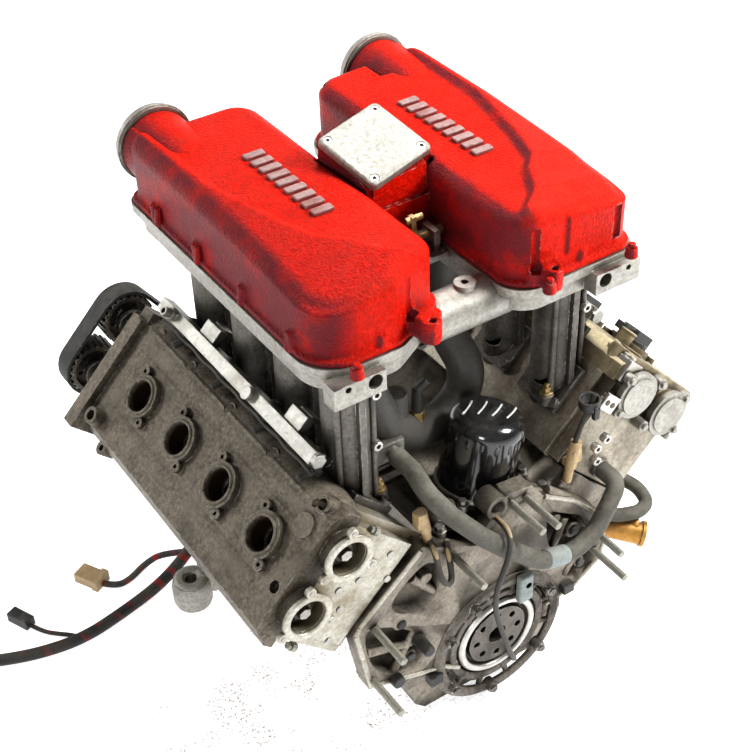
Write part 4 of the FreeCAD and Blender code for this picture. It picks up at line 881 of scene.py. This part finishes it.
def filter_can(work):
    turned(work, FOOT, LONG, [
        (40, -4), (44.5, -3), (44.5, 4), (44.2, 76), (44.8, 79), (44.4, 83), (42, 89), (37, 94),
        (29, 97), (17, 99), (5, 99.6), (0.4, 99.7)], 72)
    upright = stand(FOOT, LONG)
    dents = 16
    for step in range(dents):
        spot = Matrix.Rotation(math.tau * step / dents, 4, "Z") @ Matrix.Translation(
            (0.0441, 0, 0.071))
        bmesh.ops.create_uvsphere(
            work, u_segments=10, v_segments=8, radius=1,
            matrix=upright @ spot @ Matrix.Diagonal((0.0012, 0.0024, 0.0068, 1)))


def filter_rim(work):
    turned(work, FOOT, LONG, [
        (43, -5), (46.4, -4.6), (47, -2), (46.2, 0.6), (44.6, 1.2), (43, -5)], 72)


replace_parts(piece(filter_can, "gloss_black"), "oil_filter")
piece(filter_rim, "bright_machined")
STROKES = [
    [(-24, 12), (-22, 0), (-25, -12)],
    [(-9, 13), (-7, 1), (-10, -12)],
    [(7, 12), (8, 0), (5, -13)],
    [(22, 13), (23, 1), (20, -12)],
]
SLANT, WRITING, DOME = 0.42, 1.12, 0.0030
ALONG = Vector((0.845, -0.536, 0))
ACROSS = (ALONG - LONG * ALONG.dot(LONG)).normalized()
AWAY = LONG.cross(ACROSS)
for index, stroke in enumerate(STROKES):
    marks = []
    for a, b in stroke:
        a, b = WRITING * (a + SLANT * b), WRITING * b
        lift = 99.5 - DOME * (a * a + b * b)
        marks.append(tuple(FOOT + LONG * lift + ACROSS * a + AWAY * b))
    soft_tube("chalk_%d" % index, marks, 1.3, "chalk")

# %% [markdown]
# ## Heads, covers and wires
# The left head has no end covers, so its cam tunnels show bright rims and bolts. The right cover
# carries a long rounded ridge with an open stub and a machined block. The sensor wires run in
# black sleeves, which are smooth tubes with both ends on the engine.

# %% Cam tunnel rims, bolts and coil wells of the left head
WELLS = (70, 164, 258, 352)


def tunnel_rims(work):
    for inner in (38.5, -38.5):
        spot = bank("left", inner, -9, 335)
        turned(work, spot, (0, -1, 0), [
            (21.5, -1), (21.5, 2.5), (23, 4), (29, 4), (30.5, 2.5), (30.5, -1), (21.5, -1)], 56)
        for x, z in around(spot, 34, (80, 200, 320)):
            rod(work, (x, -7, z), (x, -13, z), 6.5, 6)


def tunnel_bolts(work):
    for inner in (38.5, -38.5):
        spot = bank("left", inner, -9, 335)
        rod(work, (spot[0], 2, spot[2]), (spot[0], -6, spot[2]), 8, 7.4, sides=6)
        for x, z in around(spot, 34, (80, 200, 320)):
            rod(work, (x, -13, z), (x, -13.6, z), 3.2, 3)
    for inner, height in ((0, 318), (18, 300), (-20, 298), (58, 282), (-60, 282), (30, 262)):
        spot = bank("left", inner, -9, height)
        rod(work, spot, (spot[0], -11.5, spot[2]), 4.6, 4.2)


def well_sleeves(work):
    for y in WELLS:
        turned(work, bank("left", 0, y, 330), (-1, 0, 1), [
            (15, 0), (18.7, 1), (18.7, 46), (18.1, 46), (17.6, 6), (15, 2), (15, 0)], 48)


def well_rims(work):
    for y in WELLS:
        turned(work, bank("left", 0, y, 379), (-1, 0, 1), [
            (19.1, 0), (19.1, 3), (20, 4), (22, 4), (23, 3), (23, 0), (19.1, 0)], 56)


def cover_bulges(work):
    for inner in (48, -48):
        turned(work, bank("left", inner, 22, 335.5), (0, 1, 0), [
            (4, -6), (26, -2), (35, 10), (38.5, 34), (38.5, 372), (35, 392), (22, 402),
            (4, 405)], 72)


piece(cover_bulges, "cover_casting")
piece(tunnel_rims, "pale_head", 0.6)
piece(tunnel_bolts, "machined_steel", 0.5)
piece(well_sleeves, "dark_in_holes")
piece(well_rims, "cover_casting", 0.5)


# %% Ridge, stub and block of the right cover
def right_ridge(work):
    turned(work, bank("right", 38, 64, 349), (0, 1, 0), [
        (2, -6), (16, -2), (23, 8), (25, 22), (25, 300), (21, 318), (8, 326), (1, 327)], 48)
    brick(work, (24, 34, 350), (58, 60, 371), "right")
    turned(work, bank("right", 30, 84, 366), (1, 0, 1), [
        (10, 0), (10, 22), (11, 23), (11, 25.5), (8, 26), (8, 6), (0.5, 6)], 36)


def right_block(work):
    brick(work, (50, 24, 338), (76, 44, 366), "right")
    for y in (29, 39):
        rod(work, bank("right", 72, y, 366), bank("right", 72, y, 370), 4.4, sides=6)


def strap_plate(work):
    brick(work, (66, 12, 300), (92, 15, 322), "right")


# Painted shade: dark discs on the plate stand for the darkness inside its two holes.
def strap_hole_shade(work):
    for inner in (74, 85):
        spot = bank("right", inner, 12, 311)
        rod(work, (spot[0], 13, spot[2]), (spot[0], 11.4, spot[2]), 3.6)


def ring_clip(work):
    spot = bank("right", 104, 20, 300)
    turned(work, spot, (0, 0, 1), [
        (10, -7), (12.5, -6), (12.8, 4), (14, 5), (13, 6.5), (10, 6), (10, -7)], 36)
    brick(work, (spot[0] - 4, spot[1] - 15, spot[2] - 16), (spot[0] + 4, spot[1] - 9, spot[2]))


piece(right_ridge, "gold_casting", 1.5)
piece(right_block, "bright_machined", 0.8)
piece(strap_plate, "bright_machined", 0.8)
piece(strap_hole_shade, "dark_in_holes")
piece(ring_clip, "black_plastic", 0.6)

# %% Black sleeves of the sensor wires
soft_tube("crank_lead", [(-12, -4, 207), (-12, -32, 208), (-24, -45, 184), (-38, -42, 140),
                         (-34, -36, 96), (-18, -31, 44), (2, -26, -16), (22, -10, -52),
                         (27, 4, -64)], 3.4, "wire_sleeve")
soft_tube("plug_lead", [(-95, 10, 212), (-100, -12, 206), (-104, -24, 186), (-94, -26, 164),
                        (-82, -18, 164), (-80, -8, 188), (-74, 5, 199)], 3.6,
          "wire_sleeve")
soft_tube("clip_lead", [(118, 17, 236), (122, 14, 262), (140, 18, 284), (146, 20, 294)], 3.2,
          "wire_sleeve")
soft_tube("rail_wire", [bank("left", 84 + (3 if step % 2 else 0), 62 + 24 * step, 377)
                        for step in range(15)], 2.2, "wire_sleeve")

# %% [markdown]
# ## Runners, mounts and valley
# The castings between the banks carry seams, ears, bosses and bolts too small for the solids, and
# the valley is full of fittings. All are rods, bricks and rings sunk a little into what holds
# them, since a real boss grows out of its casting.

# %% Seams, ears and bosses of the runners
def runner_details(work):
    for sign, y in ((-1, 60), (1, 82)):
        rod(work, (sign * 132, y - 2, 262), (sign * 132, y - 2, 422), 4.6, 4, sides=12)
        rod(work, (sign * 126, y - 2, 252), (sign * 126, y - 2, 266), 10, 8.5)
        rod(work, (sign * 174, y, 262), (sign * 174, y, 422), 4, sides=12)


def runner_bosses(work):
    for x, y, z in ((-130, 57, 334), (-130, 57, 404), (174, 80, 402), (174, 80, 372),
                    (162, 15, 225), (148, 15, 217), (150, 16, 196)):
        turned(work, (x, y, z), (0, -1, 0), [
            (2.8, -2), (2.8, 7), (5.4, 7), (6, 6), (6, -2), (2.8, -2)], 28)


def runner_bolts(work):
    for sign, y in ((-1, 58), (1, 80)):
        rod(work, (sign * 126, y, 266), (sign * 126, y, 269), 7.5)
        rod(work, (sign * 126, y, 269), (sign * 126, y, 275), 5.4, sides=6)
        rod(work, (sign * 126, y, 275), (sign * 126, y, 281), 3)


piece(runner_details, "runner_casting", 1.0)
piece(runner_bosses, "bright_machined", 0.3)
piece(runner_bolts, "aged_brass", 0.5)


# %% Mount arms and rim of the flange
def mount_arms(work):
    for sign in (-1, 1):
        turned(work, (sign * 250, 331, 0), (0, 0, 1), [
            (10, -75), (10, -33), (20, -33), (24, -37), (26, -44), (26, -70), (23, -75),
            (10, -75)], 48)
        rod(work, (sign * 228, 331, -56), (sign * 146, 322, -8), 17, 24)
        rod(work, (sign * 232, 340, -50), (sign * 150, 346, 20), 9, 12)


def flange_rim(work):
    left = [(-58, -22), (-84, -3), (-121, 8), (-184, 31), (-200, 128), (-195, 138), (-112, 209)]
    right = [(62, 195), (110, 162), (147, 122), (164, 66), (157, 39), (120, 14), (74, 6)]
    for rim in (left, right):
        for (x, z), (next_x, next_z) in zip(rim, rim[1:]):
            rod(work, (x, 1, z), (next_x, 1, next_z), 3.4, sides=12)


piece(mount_arms, "silver_casting", 2.0)
piece(flange_rim, "pale_head")


# %% Small hardware in the valley
def valley_brass(work):
    rod(work, (-37, 112, 284), (-37, 112, 298), 9, 8.5, sides=6)
    turned(work, (-42, 141, 200), (0.2, -0.3, 1), [
        (9, 0), (9, 7), (14, 7), (15, 5), (15, 0), (9, 0)], 32)
    rod(work, (-30, 158, 486), (-30, 158, 512), 2.6)
    rod(work, (-30, 158, 500), (-30, 158, 505), 3.4, sides=6)
    rod(work, (-30, 172, 486), (-30, 172, 500), 3.2)
    turned(work, (-34, 150, 474), (0, -1, 0), [
        (2.5, -1), (2.5, 6), (6.4, 6), (7, 4), (7, -1), (2.5, -1)], 32)


def valley_black(work):
    rod(work, (-37, 112, 298), (-37, 112, 328), 7.4, 6.4)
    rod(work, (-37, 112, 326), (-25, 108, 338), 5.6)
    for y in WELLS:
        rod(work, bank("left", 86, y, 372), bank("left", 72, y, 382), 5, 4.4, sides=8)


def valley_steel(work):
    for x, y, z, size in ((-70, 24, 196, 6), (-56, 60, 206, 5), (60, 40, 204, 6),
                          (78, 24, 182, 6), (34, 22, 206, 6), (-30, 34, 206, 5)):
        rod(work, (x, y, z - 6), (x, y, z + 3), size + 2)
        rod(work, (x, y, z + 3), (x, y, z + 9), size, sides=6)
    brick(work, (-96, 120, 196), (-50, 130, 204))
    brick(work, (-96, 140, 196), (-50, 144, 203))


def valley_cast(work):
    for start, end in (((-64, 30, 198), (-40, 150, 200)), ((62, 96, 200), (98, 60, 160)),
                       ((46, 26, 204), (86, 24, 170)), ((70, 8, 196), (118, 8, 152)),
                       ((30, 14, 212), (66, 14, 190))):
        rod(work, start, end, 7, 6, sides=12)


piece(valley_brass, "aged_brass", 0.5)
piece(valley_black, "black_plastic", 0.8)
piece(valley_steel, "machined_steel", 0.5)
piece(valley_cast, "block_casting", 1.2)


# %% Outlet pipe and cover bolts
def outlet_pipe(work):
    turned(work, (196, 46, 40), (1, -0.62, -0.2), [
        (11, 44), (11, -2), (14.5, -2), (14.5, 6), (13, 8), (13, 38), (16, 42), (17, 46),
        (16, 50), (12.5, 50), (11, 44)], 48)


def cover_screws(work):
    for side, y_low in (("left", 4), ("right", 28)):
        for step in range(6):
            for inner in (72, -84):
                foot, head, top = (bank(side, inner, y_low + 84 * step, height)
                                   for height in (306, 313, 318))
                rod(work, foot, head, 5.6, 5.2)
                rod(work, head, top, 4.2, sides=6)


piece(outlet_pipe, "orange_pipe", 0.5)
piece(cover_screws, "zinc_stud", 0.4)

# %% [markdown]
# ## Loom bands, dirt and threads
# Red cloth tape shows through the black wrap near the block, road dust lies on the floor round
# the engine, and the studs have rolled threads at their ends.

# %% Bands on the loom
def banded(paint, origin):
    """Red bands that repeat with the distance from a point and fade out along the loom."""
    tree, shader = nodes_of(paint)
    reach = distance_to(tree, origin)
    bands = ramp(tree, maths(tree, "SINE", maths(tree, "MULTIPLY", reach, 260.0)), 0.25, 0.5)
    torn = ramp(tree, noise(tree, object_space(tree), 45, 4), 0.42, 0.58)
    fade = ramp(tree, reach, 0.42, 0.12)
    recolour(tree, shader, maths(tree, "MULTIPLY", maths(tree, "MULTIPLY", bands, torn), fade),
             (0.30, 0.02, 0.015, 1))


banded(FINISH["loom_tape"], LOOM_EXIT)
print("bands start at", LOOM_EXIT)


# %% Dust on the floor
def dusty(paint, spot, reach):
    """Brown specks on the floor that thin out with the distance from a point."""
    tree, shader = nodes_of(paint)
    where = object_space(tree)
    near = ramp(tree, distance_to(tree, spot), reach, 0.05)
    specks = ramp(tree, noise(tree, where, 300, 5, 0.7), 0.50, 0.62)
    clouds = ramp(tree, noise(tree, where, 16, 5, 0.6), 0.46, 0.60)
    mask = maths(tree, "MULTIPLY", maths(tree, "MULTIPLY", specks, clouds), near)
    tree.links.new(blend(tree, mask, FLOOR_WHITE, (0.36, 0.22, 0.15, 1)),
                   shader.inputs["Base Color"])
    tree.links.new(maths(tree, "SUBTRACT", FLOOR_GLOW, maths(tree, "MULTIPLY", mask, 0.5)),
                   shader.inputs["Emission Strength"])


dusty(floor_paint, (-0.24, 0.10, FLOOR), 0.42)
print("dust on:", floor_paint.name)


# %% Threads on the studs
def threaded(paint, pitch):
    """Fine rings across Y as a bump, one every pitch in metres."""
    tree, shader = nodes_of(paint)
    wave = add_node(tree, "ShaderNodeTexWave", bands_direction="Y", Scale=math.tau / 20 / pitch)
    tree.links.new(object_space(tree), wave.inputs["Vector"])
    old = shader.inputs["Normal"].links[0].from_socket
    bump = add_node(tree, "ShaderNodeBump", Strength=0.9, Distance=0.0006,
                    Height=wave.outputs["Fac"])
    tree.links.new(old, bump.inputs["Normal"])
    tree.links.new(bump.outputs["Normal"], shader.inputs["Normal"])


threaded(FINISH["zinc_stud"], 0.0016)
print("threads on:", FINISH["zinc_stud"].name)

# %% Update of the scene
bpy.context.view_layer.update()
